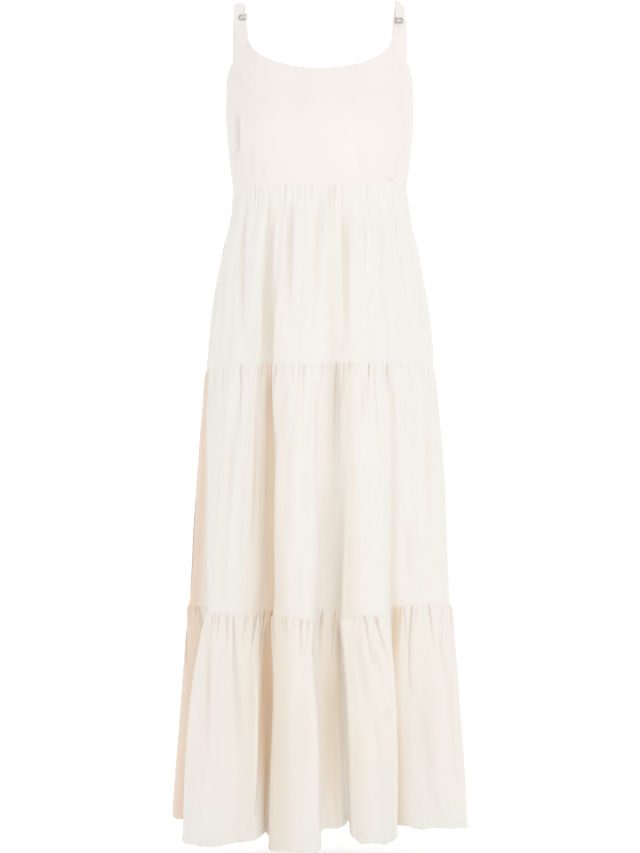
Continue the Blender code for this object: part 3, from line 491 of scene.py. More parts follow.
def section_points(angle, height):
    """Across and depth on the plain section, a superellipse, at angles from the front."""
    drops = -SECTIONS[:, 0]
    width, front, back, squareness = (through(drops, column, -height) for column in SECTIONS.T[1:])
    s = np.sin(angle)
    c = np.cos(angle)
    reach = (np.abs(s) ** squareness + np.abs(c) ** squareness) ** (-1.0 / squareness)
    depth = np.where(c > 0.0, front, back)
    return np.stack([width * s * reach, -depth * c * reach], axis=-1)


def along_fold(height, values):
    """A fold's value at a height, smooth above the tier 3 seam and below it."""
    part = slice(None, SEAM_PLACE + 1) if height >= TIER_3_SEAM else slice(SEAM_PLACE, None)
    values = np.broadcast_to(values, len(FOLD_HEIGHTS))
    return float(through(np.negative(FOLD_HEIGHTS)[part], values[part], -height))


def angle_gap(angle, middle):
    """How far angles are from a middle one, the short way round."""
    return (angle - middle + pi) % (2 * pi) - pi


def from_middle(angle, degrees):
    """Shares of the way from a fold's middle to the end of its side, less than 0 on its left."""
    middle, left, right = (radians(value) for value in degrees)
    gap = angle_gap(angle, middle)
    return gap / np.where(gap > 0.0, right, left)


def folded_points(angle, height):
    """The section with its folds, and how far each point is lifted."""
    base = section_points(angle, height)
    along = unit(section_points(angle + STEP, height) - base)
    outward = np.stack([along[..., 1], -along[..., 0]], axis=-1)
    inward, sideways, rise = (np.zeros_like(angle) for _ in range(3))
    start = at_height(height, (EMPIRE_SEAM, TIER_2_SEAM), (0.0, 1.0))
    for fold in FOLDS:
        degrees = [along_fold(height, row) for row in (fold.angles, fold.lefts, fold.rights)]
        place = from_middle(angle, degrees)
        depth = along_fold(height, fold.depths) / MM * start
        floor = at_height(height, (TIER_3_SEAM, PUFF_HEIGHT), (fold.floor, fold.hem_floor))
        slope = np.clip((np.abs(place) - floor) / (1.0 - floor), 0.0, 1.0)
        share = 1.0 - smooth_step(slope)
        inward += depth * share
        rise += at_height(height, SHADE_AND_RISE_HEIGHTS, (0.0, *fold.rises)) / MM * share
        if any(fold.tucks):
            tuck = np.where(place > 0.0, fold.tucks[1], -fold.tucks[0]) * depth / fold.depths[-1]
            sideways += tuck * np.sin(2 * pi * slope)
    line = base - outward * inward[:, None] + along * sideways[:, None]
    return line, LIFT * inward + rise + seam_rise(angle, height)


def seam_rise(angle, height):
    """How far the cloth at an angle is raised."""
    degrees = np.degrees(angle_gap(angle, 0.0))
    rises = [np.interp(degrees, RISE_ANGLES, row) / MM for row in RISES]
    for k, (top, bottom) in enumerate(zip(RISE_HEIGHTS, RISE_HEIGHTS[1:])):
        if height >= bottom:
            return rises[k] + np.clip((top - height) / (top - bottom), 0.0, 1.0) * (rises[k + 1] - rises[k])
    return rises[-1]


def painted_fold_shades(angle, height):
    """How far the cloth is painted with the warm shade, less than 0 for the rosy one, and how far it is
    painted dim.
    """
    warm = np.full_like(angle, at_height(height, STRENGTH_HEIGHTS, BASE_PAINTED_WARMTH))
    dim = np.zeros_like(angle)
    for fold_shade in PAINTED_SHADES:
        degrees = [at_height(height, SHADE_AND_RISE_HEIGHTS, row) for row in (fold_shade.angles, fold_shade.lefts, fold_shade.rights)]
        share = 1.0 - smooth_step(np.abs(from_middle(angle, degrees)))
        share = at_height(height, STRENGTH_HEIGHTS, fold_shade.strengths) * share
        warm += fold_shade.warm * share
        dim += fold_shade.dim * share
    return warm, dim


Row = namedtuple("Row", "points outward length warm dim")


def panel_row(side, shares, height):
    """Points at shares of the cloth's width from side seam to side seam, and what goes with them."""
    start = -pi / 2 if side == "front" else pi / 2
    angle = start + np.linspace(0.0, pi, ANGLE_COUNT)
    line, lift = folded_points(angle, height)
    lengths = run_lengths(line)
    total = lengths[-1]
    lengths /= total
    along = unit(np.gradient(line, lengths, axis=0))
    outward = (along[:, 1], -along[:, 0], np.zeros_like(lift))
    rows = np.column_stack([line, lift, *outward, *painted_fold_shades(angle, height)])
    rows = at_places(shares, lengths, rows)
    return Row(rows[:, :3] + [0.0, 0.0, height], rows[:, 3:6], total, rows[:, 6], rows[:, 7])


# ---- relief of the gathered panels


def gathers_of(tier, side):
    if side == "front":
        return tier.gathers
    return [(100 - place, depth, reach) for place, depth, reach in reversed(tier.gathers)]


def gather_relief(gathers, shares, below):
    """How far the gathered cloth stands out below its seam."""
    places = [0.0, *(row[0] / 100 for row in gathers), 1.0]
    relief = np.zeros_like(shares)
    puff = 0.0
    rise = GATHER_START + (1.0 - GATHER_START) * smooth_step(below / GATHER_RISE)
    for i, (_, depth, reach) in enumerate(gathers):
        fade = 1.0 - smooth_step((below * MM / reach - GATHER_HOLD) / (1.0 - GATHER_HOLD))
        strength = depth / MM * rise * fade
        gap = shares - places[i + 1]
        room = np.where(gap < 0.0, places[i + 1] - places[i], places[i + 2] - places[i + 1])
        relief -= strength * np.clip(1.0 - np.abs(gap) / (GATHER_SPREAD * room), 0.0, 1.0) ** GATHER_POWER
        puff += GATHER_PUFF * strength / len(gathers)
    return puff * np.clip(np.minimum(shares, 1.0 - shares) / GATHER_EDGE, 0.0, 1.0) + relief


def creases_of(tier, side):
    """One panel's creases and scattered puckers."""
    mirrored = side == "back"
    chance = np.random.default_rng(tier.seed + BACK_SEED * mirrored)
    creases = [Crease(*row) for row in tier.creases]
    for start, end, count in tier.puckers:
        for place in np.sort(chance.uniform(start, end, count)):
            depth, width = chance.uniform(*zip(PUCKER_DEPTHS, PUCKER_WIDTHS))
            reach = PUCKER_REACHES[0] + (PUCKER_REACHES[1] - PUCKER_REACHES[0]) * chance.random() ** 2
            creases.append(Crease(place, chance.normal(0.0, PUCKER_DRIFT), 0, reach, depth, width))
    if mirrored:
        places = [100 - row.place + chance.normal(0.0, BACK_SPREAD) for row in creases]
        creases = [row._replace(place=place, drift=-row.drift) for row, place in zip(creases, places)]
    return creases


def soft_profile(q):
    """A soft trough with low shoulders, over distances in widths."""
    return (1.0 - LIP * q**2) * np.exp(-LIP_FADE * q**2)


def pinch_profile(q):
    """The same with a sharp bottom."""
    shoulders = SHOULDER * np.exp(-(((q - SHOULDER_PLACE) / SHOULDER_WIDTH) ** 2))
    return np.exp(PINCH_TIP - np.sqrt(q**2 + PINCH_TIP**2)) - shoulders


def crease_relief(creases, shares, below, length, pinch):
    """Relief of the creases and how much painted shade they put on the cloth.

    One that starts in a seam is a sharp pinch, which widens and fades downwards. Others are soft.
    """
    relief = np.zeros_like(shares)
    shade = np.zeros_like(shares)
    for row in creases:
        is_pinch = row.top <= PINCH_TOP and row.width < PINCH_WIDTH and row.depth > 0.0
        run = (below * MM - row.top) / (row.bottom - row.top) / (PINCH_STRETCH if is_pinch else 1.0)
        if not 0.0 <= run <= 1.0:
            continue
        distance = np.abs(shares - (row.place + row.drift * run) / 100) * length * MM
        if is_pinch:
            start = PINCH_START + (1.0 - PINCH_START) * smooth_step(below / PINCH_RISE)
            strength = pinch * row.depth * (1.0 - run) * start
            q = distance / (row.width * (PINCH_NARROW + PINCH_WIDEN * run))
            profile = pinch_profile(q)
            # painted shade along the pinch's line
            shade += PINCH_SHADE * strength * np.exp(-PINCH_SHADE_FADE * q**2)
        else:
            fade = 1.0 - smooth_step((run - SOFT_HOLD) / (1.0 - SOFT_HOLD))
            strength = SOFT * row.depth * smooth_step(run / SOFT_RISE) * fade
            profile = soft_profile(distance / row.width)
            # painted shade in a soft trough
            shade += SOFT_SHADE * max(strength, 0.0) * profile
        relief -= strength / MM * profile
    return RELIEF_MOST * np.tanh(relief / RELIEF_MOST), shade


def slack_relief(seed, across, down):
    """Soft unevenness of the hanging cloth, at shares of the way across and down."""
    chance = np.random.default_rng(seed)
    relief = np.zeros_like(across)
    for count, least, most, lean_most, height in SWELLS:
        for _ in range(count):
            waves = chance.uniform(least, most)
            lean = chance.uniform(-lean_most, lean_most)
            phase = chance.uniform(0.0, 2 * pi)
            beat = np.sin(2 * pi * chance.uniform(*SWELL_BEATS) * down + chance.uniform(0.0, 2 * pi))
            relief += height / count**0.5 * beat * np.sin(2 * pi * (waves * across + lean * down) + phase)
    return relief * smooth_step(down / SLACK_START)


def ripple(seed, shares, least, most, count, shift=0.0):
    """Waves of random lengths across a panel, added up."""
    chance = np.random.default_rng(seed)
    total = np.zeros_like(shares)
    for waves in chance.uniform(least, most, count):
        total += np.sin(2 * pi * waves * shares + shift + chance.uniform(0.0, 2 * pi))
    return total


def foot_waver(seed, shares, above, height):
    """Up and down unevenness of a panel's lower edge."""
    return height * ripple(seed + WAVER_SEED, shares, *FOOT_WAVES) * np.exp(-above / WAVER_REACH)


def seam_band(above):
    """How far a panel's foot is lifted by the allowance inside it."""
    return SEAM_BAND * (1.0 - smooth_step((above - SEAM_BAND_HEIGHT) / SEAM_BAND_FADE))


def hem_relief(seed, shares, above):
    """The hem's thickness, its roping and its stitched line."""
    inside = 1.0 - smooth_step((above - HEM_STITCH_HEIGHT) / HEM_EDGE)
    line = -STITCH_DIP * np.exp(-(((above - HEM_STITCH_HEIGHT) / STITCH_DIP_WIDTH) ** 2))
    return inside * (HEM_THICKNESS + ROPING * ripple(seed, shares, *HEM_WAVES, ROPING_LEAN * above)) + line


# ---- sheets of cloth


def point_directions(points, faces):
    """The outward direction at each point, from the faces round it."""
    corners = points[faces]
    tilt = np.cross(corners[:, 2] - corners[:, 0], corners[:, 3] - corners[:, 1])
    total = np.zeros_like(points)
    for k in range(4):
        np.add.at(total, faces[:, k], tilt)
    return unit(total)


class Sheet:
    """Points and faces of one sheet, with each point's place on the cloth, painted warm shade and painted
    crease shade.
    """

    def __init__(self):
        self.points = np.zeros((0, 3))
        self.places = np.zeros((0, 3))
        self.shades = np.zeros(0)
        self.faces = np.zeros((0, 4), int)

    def add(self, points, across, down, warm=0.0, shade=0.0):
        """Add points, which are across and down on the cloth, and give their numbers."""
        start = len(self.points)
        columns = np.broadcast_arrays(across, down, warm, shade, points[:, 0])
        self.points = np.concatenate([self.points, points])
        self.places = np.concatenate([self.places, np.stack(columns[:3], axis=1)])
        self.shades = np.concatenate([self.shades, columns[3]])
        return np.arange(start, start + len(points))

    def weave(self, numbers):
        """Add the faces of a grid of point numbers, rows downwards and columns to the right."""
        grid = np.asarray(numbers)
        quads = np.stack([grid[:-1, :-1], grid[1:, :-1], grid[1:, 1:], grid[:-1, 1:]], axis=-1)
        self.faces = np.concatenate([self.faces, quads.reshape(-1, 4)])

    def turn_under(self, edge, inner, radius, allowance):
        """Turn the cloth inward along an edge. inner has the sheet's points just beside it."""
        edge = np.asarray(edge)
        line = self.points[edge]
        normals = point_directions(self.points, self.faces)[edge]
        along = unit(np.gradient(line, axis=0))
        away = line - self.points[np.asarray(inner)]
        back = -unit(away - normals * (away * normals).sum(axis=1, keepdims=True))
        for axis in (along, normals):
            away = away - axis * (away * axis).sum(axis=1, keepdims=True)
        away = unit(away)
        offsets = [
            radius * (sin(turn) * away - (1.0 - cos(turn)) * normals)
            for turn in np.linspace(0.0, pi, TURN_STEPS + 1)[1:]
        ]
        offsets += [share * allowance * back - 2.0 * radius * normals for share in TURN_SHARES]
        rows = [edge, *(self.add(line + offset, *self.places[edge].T) for offset in offsets)]
        if (np.cross(along, normals) * away).sum() < 0.0:
            rows = [row[::-1] for row in rows]
        self.weave(rows)

    def turn_sides(self, rows, radius, allowance):
        """Turn in both sides of a grid of point numbers."""
        grid = np.array(rows)
        for edge, inner in ((0, 1), (-1, -2)):
            self.turn_under(grid[:, edge], grid[:, inner], radius, allowance)


def add_object(name, data):
    made = bpy.data.objects.new(name, data)
    bpy.context.collection.objects.link(made)
    return made


def mesh_object(name, points, faces, surface):
    mesh = bpy.data.meshes.new(name)
    mesh.from_pydata(np.asarray(points).tolist(), [], faces)
    mesh.materials.append(surface)
    return add_object(name, mesh)


def visible_piece(name, points, faces, surface, stands_for=None):
    """A smooth piece of the dress, in place of a solid where it stands for one."""
    made = mesh_object(name, points, faces, surface)
    made.data.shade_smooth()
    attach(made, "root")
    if stands_for:
        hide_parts(stands_for)
    return made


def cloth_piece(sheet, node, ivory):
    """Make the sheet into a piece that stands for its solid."""
    surface = material(ivory.name, weave_cloth, ivory)
    made = visible_piece(f"{node}_cloth", sheet.points, sheet.faces.tolist(), surface, node)
    # The cloth place with the painted warm or rosy shade, and the painted crease shade, for the material
    place = made.data.attributes.new("cloth_place_and_painted_warmth", "FLOAT_VECTOR", "POINT")
    place.data.foreach_set("vector", sheet.places.astype(np.float32).ravel())
    crease = made.data.attributes.new("painted_crease_shade", "FLOAT", "POINT")
    crease.data.foreach_set("value", sheet.shades.astype(np.float32))


def drops_of(length):
    """Distances below a seam, closer together at both ends."""
    steps = [0.0]
    while steps[-1] < length:
        here = steps[-1]
        foot = FOOT_STEP + FOOT_GROWTH * max(length - here, 0.0)
        steps.append(here + min(FIRST_STEP + STEP_GROWTH * here, LONGEST_STEP, foot))
    return [*steps[:-2], length]


def side_fade(shares):
    return smooth_step(np.minimum(shares, 1.0 - shares) / SIDE_SEAM)


def panel_relief(tier, side, shares, below, pinches):
    """How far a gathered panel stands out, less than 0 inside the panel above."""
    length = tier.top - tier.bottom
    down = max(below, 0.0)
    above = length - below
    hidden = 1.0 - smooth_step((below + SEAM_HIDDEN) / SEAM_TURN)
    relief = gather_relief(gathers_of(tier, side), shares, down) + pinches
    puff_fade = 1.0 - smooth_step((below - PUFF_HOLD) / PUFF_FADE)
    relief += tier.puff * smooth_step(below / PUFF_RISE) * puff_fade
    relief += tier.slack * slack_relief(tier.seed + (side == "back"), shares, down / length)
    if tier.bottom == HEM:
        relief += hem_relief(tier.seed, shares, above)
    else:
        relief = relief * smooth_step(above / FOOT_CALM) + seam_band(above)
    return relief * side_fade(shares) * (1.0 - hidden) - SEAM_TUCK * hidden


def tier_panel(tier, side):
    """A gathered panel, its top edge inside the panel above."""
    length = tier.top - tier.bottom
    is_hem = tier.bottom == HEM
    shares = np.linspace(0.0, 1.0, tier.columns + 1)
    creases = creases_of(tier, side)
    sheet = Sheet()
    rows = []
    for below in (-SEAM_ALLOWANCE, -SEAM_ALLOWANCE / 2, *drops_of(length)):
        row = panel_row(side, shares, tier.top - below)
        pinches, shade = crease_relief(creases, shares, max(below, 0.0), row.length, tier.pinch)
        points = row.points + row.outward * panel_relief(tier, side, shares, below, pinches)[:, None]
        points[:, 2] += foot_waver(tier.seed, shares, length - below, HEM_WAVER if is_hem else SEAM_WAVER)
        # painted crease shade and painted dimming, then the painted warm or rosy shade
        shade = np.clip(np.minimum(shade, CREASE_MOST) * side_fade(shares) + row.dim, 0.0, 1.0)
        rows.append(sheet.add(points, shares * tier.cut, -below, np.clip(row.warm, -1.0, 1.0), shade))
    sheet.weave(rows)
    sheet.turn_under(rows[-1], rows[-2], *(HEM_FOLD if is_hem else SEAM_FOLD))
    sheet.turn_sides(rows, *SEAM_FOLD)
    cloth_piece(sheet, f"{tier.name}_{side}", SKIRT_IVORY)
    return sheet, rows


# ---- bodice


def angle_at(across, height, middle=0.0):
    """The angle on the side of a middle where the section is this far across."""
    angles = np.linspace(middle, pi / 2, QUARTER_COUNT)
    return np.sign(across) * float(np.interp(abs(across), section_points(angles, height)[:, 0], angles))


def on_front(across, height):
    x, y = section_points(np.array([angle_at(across, height)]), height)[0]
    return np.array([x, y, height])


def bodice_creases(x, z):
    """Troughs and ridges along straight lines on the front panel."""
    relief = np.zeros_like(x)
    for x1, z1, x2, z2, depth, width in BODICE_CREASES:
        start = np.array([x1, z1]) / MM
        run = np.array([x2, z2]) / MM - start
        t = ((x - start[0]) * run[0] + (z - start[1]) * run[1]) / run.dot(run)
        q = ((x - start[0]) * run[1] - (z - start[1]) * run[0]) / np.linalg.norm(run) * MM / width
        window = smooth_step(t / BODICE_FADE) * smooth_step((1.0 - t) / BODICE_FADE)
        relief -= depth / MM * window * soft_profile(q)
    return relief


def bodice_relief(x, z, slack):
    """A bodice panel's slow unevenness and its lifted foot."""
    seed, share, top, height = slack
    down = np.clip((top - z) / height, *SLACK_LIMITS)
    return share * slack_relief(seed, (x + SLACK_LEFT) / SLACK_ACROSS, down) + seam_band(z - EMPIRE_SEAM)


def front_edge():
    """Across and height along the front's top edge, from the left."""
    knots = range(len(ARMHOLE))
    at = np.linspace(0.0, knots[-1], ARMHOLE_STEPS + 1)
    half = [*zip(*(through(knots, values, at) for values in zip(*reversed(ARMHOLE))))]
    outer, low = ARMHOLE[0]
    for share in STRAP_SHARES[1:]:
        half.append((outer + share * (NECK_HALF_WIDTH - outer), low + share * (NECK_CORNER - low)))
    for turn in np.radians(np.linspace(90.0, 0.0, NECK_STEPS + 1)[1:]):
        half.append((NECK_HALF_WIDTH * sin(turn), NECK_CORNER - (NECK_CORNER - NECK_BOTTOM) * cos(turn)))
    return [(-x, z) for x, z in half] + half[-2::-1]


def bodice_grid(sheet, angles, tops, is_front):
    """Rows of a bodice panel from its top edge to the empire seam."""
    angles = np.array(angles)
    tops = np.array(tops)
    sides = smooth_step((pi / 2 - np.abs(angles - (0.0 if is_front else pi))) / BODICE_SIDE)
    rows = []
    for drop in np.linspace(0.0, 1.0, BODICE_ROWS):
        heights = tops + drop * (EMPIRE_SEAM - tops)
        line = section_points(angles, heights)
        along = unit(section_points(angles + STEP, heights) - line)
        relief = bodice_relief(line[:, 0], heights, FRONT_SLACK if is_front else BACK_SLACK)
        if is_front:
            relief += bodice_creases(line[:, 0], heights)
        relief *= sides
        share = np.clip((BODICE_RISE_TOP - heights) / (BODICE_RISE_TOP - EMPIRE_SEAM), 0.0, 1.0)
        z = heights + share * seam_rise(angles, EMPIRE_SEAM)
        z += foot_waver(BODICE_SEED, angles / pi + 0.5, heights - EMPIRE_SEAM, SEAM_WAVER)
        points = np.column_stack([line[:, 0] + along[:, 1] * relief, line[:, 1] - along[:, 0] * relief, z])
        # painted shade in the front's creases, from their depth
        shade = np.clip(BODICE_CREASE_SHADING * np.clip(-relief, 0.0, 1.0) * is_front, 0.0, CREASE_MOST)
        rows.append(sheet.add(points, line[:, 0], heights, shade=shade))
    sheet.weave(rows)
    sheet.turn_under(rows[-1], rows[-2], *SEAM_FOLD)
    sheet.turn_sides(rows, *SEAM_FOLD)
    return rows


def behind_ring(ring, x, lift, forward):
    """A point at an x, up from a ring's middle in its plane and forward from it."""
    return np.array([x, ring.y, ring.z]) + RING_UP * lift + RING_OUT * forward


def strap_places(ring, outer, inner):
    """Places across a strap, from the left to the right."""
    left, right = sorted((outer * ring.sign, inner * ring.sign))
    return left + STRAP_SHARES * (right - left)


def strap_front(ring, root):
    """Rows of points from behind the ring down to the strap's root."""
    ends = strap_places(ring, *STRAP_END_SIDES)
    rows = [behind_ring(ring, 0.0, lift, -behind) + np.outer(ends, RIGHT) for lift, behind in STRAP_END]
    places = strap_places(ring, *FRONT_STRAP_SIDES)
    full = np.array([on_front(x, FRONT_STRAP_HEIGHT) for x in places])
    last = rows[-1]
    for down in np.linspace(0.0, 1.0, STRAP_END_ROWS)[1:]:
        rows.append(last + (full - last) * down)
    for down in np.linspace(0.0, 1.0, STRAP_FRONT_ROWS)[1:-1]:
        rows.append(np.array([on_front(point[0], point[2]) for point in full + (root - full) * down]))
    return rows


def add_strap_fronts(sheet, top, starts):
    """Both straps' fronts on the panel's top edge, as grids of point numbers."""
    straps = []
    for ring, start in zip(RINGS, starts):
        root = top[start : start + STRAP_COLUMNS + 1]
        rows = [sheet.add(line, line[:, 0], line[:, 2]) for line in strap_front(ring, sheet.points[root])]
        straps.append(np.array([*rows, root]))
        sheet.weave(straps[-1])
        sheet.turn_under(rows[0], rows[1], *NARROW_FOLD)
    return straps


def bodice_front():
    """The front panel with both straps' fronts, its neckline and armholes turned in."""
    edge = front_edge()
    angles = [angle_at(x, max(z, UNDERARM)) for x, z in edge]
    angles[0] = -pi / 2
    angles[-1] = pi / 2
    sheet = Sheet()
    top, below, *_ = bodice_grid(sheet, angles, [z for _, z in edge], True)
    first = ARMHOLE_STEPS
    last = len(edge) - 1 - ARMHOLE_STEPS
    left, right = add_strap_fronts(sheet, top, (first, last - STRAP_COLUMNS))
    neck = slice(first + STRAP_COLUMNS + 1, last - STRAP_COLUMNS)
    borders = (
        ([*left[:, -1], *top[neck], *right[::-1, 0]], [*left[:, -2], *below[neck], *right[::-1, 1]]),
        ([*top[:first], *left[::-1, 0]], [*below[:first], *left[::-1, 1]]),
        ([*right[:, -1], *top[last + 1 :]], [*right[:, -2], *below[last + 1 :]]),
    )
    for border, inner in borders:
        sheet.turn_under(border, inner, *NARROW_FOLD)
    cloth_piece(sheet, "bodice_front", BODICE_IVORY)


def bodice_back():
    """The back panel, whose top edge dips at its middle."""
    shares = np.linspace(0.0, 1.0, BACK_COLUMNS + 1)
    sheet = Sheet()
    tops = UNDERARM - BACK_DIP * np.sin(pi * shares) ** 2
    rows = bodice_grid(sheet, pi / 2 + pi * shares, tops, False)
    sheet.turn_under(rows[0], rows[1], *TOP_FOLD)
    cloth_piece(sheet, "bodice_back", BODICE_IVORY)


# ---- straps and rings


def inside_back(across, height):
    """A point just inside the back panel."""
    angle = angle_at(abs(across), height, pi)
    here, beside = section_points(np.array([angle, angle + STEP]), height)
    step = unit(beside - here)
    x, y = here - STRAP_INSET * np.array([step[1], -step[0]])
    return np.array([x * np.sign(across), y, height])


def keeper_loop(sheet, ring):
    """A narrow loop of the strap that holds the ring by its upper bar."""
    bar = RING_HEIGHT / 2 - WIRE_RADIUS
    reach = WIRE_RADIUS + KEEPER_GAP
    round_bar = [(reach * sin(turn), reach * cos(turn)) for turn in np.radians(np.linspace(*KEEPER_TURNS))]
    places = np.linspace(-0.5, 0.5, KEEPER_COLUMNS)
    rows = []
    for k, (up, out) in enumerate((KEEPER_START, *round_bar, *KEEPER_ENDS)):
        middle = behind_ring(ring, ring.x, bar + up, out)
        line = middle + np.outer(places * KEEPER_WIDTH, RIGHT)
        line -= np.outer(places**2, RING_OUT) * KEEPER_BOW
        rows.append(sheet.add(line, line[:, 0], -KEEPER_STEP * k)[::-1])
    sheet.weave(rows)


def strap_lines(ring):
    """Lines across the strap, from behind the ring to the inside of the back."""
    shares = STRAP_SHARES - 0.5
    lines = []
    for lift, behind in STRAP_TAIL:
        middle = behind_ring(ring, ring.sign * SHOULDER_PATH[0].x, lift, -behind)
        lines.append(middle + np.outer(shares * STRAP_WIDTH, RIGHT))
    for row in SHOULDER_PATH:
        turn = radians(row.turn)
        across = STRAP_WIDTH * np.array([cos(turn), -ring.sign * sin(turn), 0.0])
        lines.append(np.array([ring.sign * row.x, row.y, row.z]) + np.outer(shares, across))
    places = ring.sign * BACK_STRAP_X + shares * STRAP_WIDTH
    for height in (UNDERARM, UNDERARM - BACK_STRAP_LAP):
        lines.append(np.array([inside_back(across, height) for across in places]))
    return np.array(lines)


def grid_outward(grid):
    return unit(np.cross(np.gradient(grid, axis=1), np.gradient(grid, axis=0)))


def rolled(grid, roll, sign):
    """A strap's rows, each rolled about its middle."""
    middle = grid.mean(axis=1, keepdims=True)
    lean = unit(grid_outward(grid).mean(axis=1, keepdims=True))
    offset = grid - middle
    sway = (offset * unit(grid[:, -1:] - grid[:, :1])).sum(axis=2, keepdims=True)
    return middle + offset * np.cos(roll) - sign * sway * lean * np.sin(roll)


def shoulder_strap(ring):
    """The strap with its edges turned in, and the keeper."""
    lines = strap_lines(ring)
    lengths = run_lengths(lines.mean(axis=1))
    at = np.linspace(0.0, lengths[-1], STRAP_ROWS)
    columns = [through(lengths, column, at) for column in lines.reshape(len(lines), -1).T]
    roll = np.radians(through(lengths, STRAP_ROLLS[ring.side], at))[:, None, None]
    grid = rolled(np.stack(columns, axis=1).reshape(STRAP_ROWS, -1, 3), roll, ring.sign)
    droop = STRAP_DROOP * np.abs(2 * STRAP_SHARES - 1.0) ** DROOP_POWER
    grid = grid - grid_outward(grid) * droop[None, :, None]
    sheet = Sheet()
    rows = [sheet.add(line, line[:, 0], -run) for line, run in zip(grid, at)]
    sheet.weave([row[::-1] for row in rows])
    sheet.turn_sides(rows, FOLD_RADIUS / 2, STRAP_ALLOWANCE)
    keeper_loop(sheet, ring)
    cloth_piece(sheet, f"strap_{ring.side}", BODICE_IVORY)


def tube_faces(start, rings, sides, is_closed):
    """Faces between rings of points, the last joined to the first if it is closed."""
    faces = []
    for i in range(rings if is_closed else rings - 1):
        here = start + i * sides
        after = start + (i + 1) % rings * sides
        for k in range(sides):
            beside = (k + 1) % sides
            faces.append((here + k, after + k, after + beside, here + beside))
    return faces


def circle(middle, radius, right, up, sides):
    spins = [2 * pi * k / sides for k in range(sides)]
    return [middle + radius * (cos(spin) * right + sin(spin) * up) for spin in spins]


def strap_ring(ring):
    """A rounded ring of round polished wire, leaning with the strap."""
    tilt = radians(ring.tilt)
    right = cos(tilt) * RIGHT + sin(tilt) * RING_UP
    up = cos(tilt) * RING_UP - sin(tilt) * RIGHT
    points = []
    for turn in (2 * pi * i / RING_STEPS for i in range(RING_STEPS)):
        corners = abs(cos(turn)) ** RING_SQUARENESS + abs(sin(turn)) ** RING_SQUARENESS
        reach = corners ** (-1.0 / RING_SQUARENESS)
        across = (RING_WIDTH / 2 - WIRE_RADIUS) * cos(turn) * reach
        height = (RING_HEIGHT / 2 - WIRE_RADIUS) * sin(turn) * reach
        middle = np.array([ring.x, ring.y, ring.z]) + right * across + up * height
        points += circle(middle, WIRE_RADIUS, right * cos(turn) + up * sin(turn), RING_OUT, WIRE_SIDES)
    faces = tube_faces(0, RING_STEPS, WIRE_SIDES, True)
    surface = material("polished_wire", polished_wire)
    visible_piece(f"ring_{ring.side}_wire", points, faces, surface, f"ring_{ring.side}")


# ---- stitches


def hem_stitches(side, sheet, rows):
    """The stitched line above the hem."""
    grid = np.array(rows)[::-1]
    heights = np.linalg.norm(sheet.points[grid] - sheet.points[grid[0]], axis=-1)
    line, outwards = (
        np.array([at_places(HEM_STITCH_HEIGHT, *column) for column in zip(heights.T, values[grid.T])])
        for values in (sheet.points, point_directions(sheet.points, sheet.faces))
    )
    lengths = run_lengths(line)
    points = []
    faces = []
    for start in np.arange(0.0, lengths[-1] - STITCH_LENGTH, STITCH_PITCH):
        faces += tube_faces(len(points), len(STITCH_RINGS), STITCH_SIDES, False)
        for share, thick, lift in STITCH_RINGS:
            at = start + share * STITCH_LENGTH
            here, ahead = at_places([at, at + STEP], lengths, line)
            out = at_places(at, lengths, outwards)
            middle = here + out * STITCH_RADIUS * (lift - STITCH_SINK)
            across = np.cross(unit(ahead - here), out)
            points += circle(middle, STITCH_RADIUS * thick, across, out, STITCH_SIDES)
    faces = [face[:1] + face[:0:-1] for face in faces]
    visible_piece(f"hem_stitches_{side}", points, faces, material("ivory_thread", sewing_thread))


# ---- materials

MADE = {}


def material(name, shader_inputs, *values):
    """The material of this name, made the first time from its shader inputs."""
    if name not in MADE:
        MADE[name] = bpy.data.materials.new(name)
        MADE[name].use_nodes = True
        tree = MADE[name].node_tree
        set_inputs(tree, tree.nodes["Principled BSDF"], shader_inputs(tree, *values))
    return MADE[name]


def set_inputs(tree, made, inputs):
    """Set a node's inputs: sockets are linked, and other values are constants."""
    for key, source in inputs.items():
        if hasattr(source, "is_output"):
            tree.links.new(source, made.inputs[key])
        else:
            made.inputs[key].default_value = source


def node(tree, kind, inputs, output=0, **values):
    """Add a node and give one of its outputs."""
    made = tree.nodes.new("ShaderNode" + kind)
    for key, value in values.items():
        setattr(made, key, value)
    set_inputs(tree, made, inputs)
    return made.outputs[output]


def maths(tree, operation, a, b=0.0):
    return node(tree, "Math", {0: a, 1: b}, operation=operation)


def map_range(tree, value, source, target):
    ends = dict(zip(("From Min", "From Max", "To Min", "To Max"), (*source, *target)))
    return node(tree, "MapRange", {"Value": value, **ends})


def mix(tree, factor, colours):
    """A mix of two colours, each a socket or red, green and blue."""
    first, second = (colour if hasattr(colour, "is_output") else (*colour, 1.0) for colour in colours)
    return node(tree, "Mix", {"Factor": factor, 6: first, 7: second}, 2, data_type="RGBA")


def noise(tree, where, scale, detail, roughness=0.5):
    inputs = {"Vector": where, "Scale": scale, "Detail": detail, "Roughness": roughness}
    return node(tree, "TexNoise", inputs, "Fac")


def bump(tree, height, strength, distance):
    return node(tree, "Bump", {"Height": height, "Strength": strength, "Distance": distance})


def own_places(tree):
    return node(tree, "TexCoord", {}, "Object")


def cloth_noise(tree, flat, scale, detail=3.0):
    """Noise on the cloth's own places, stretched by scale across and down."""
    stretched = node(tree, "VectorMath", {0: flat, 1: (*scale, 1.0)}, operation="MULTIPLY")
    return noise(tree, stretched, 1.0, detail, 0.55)


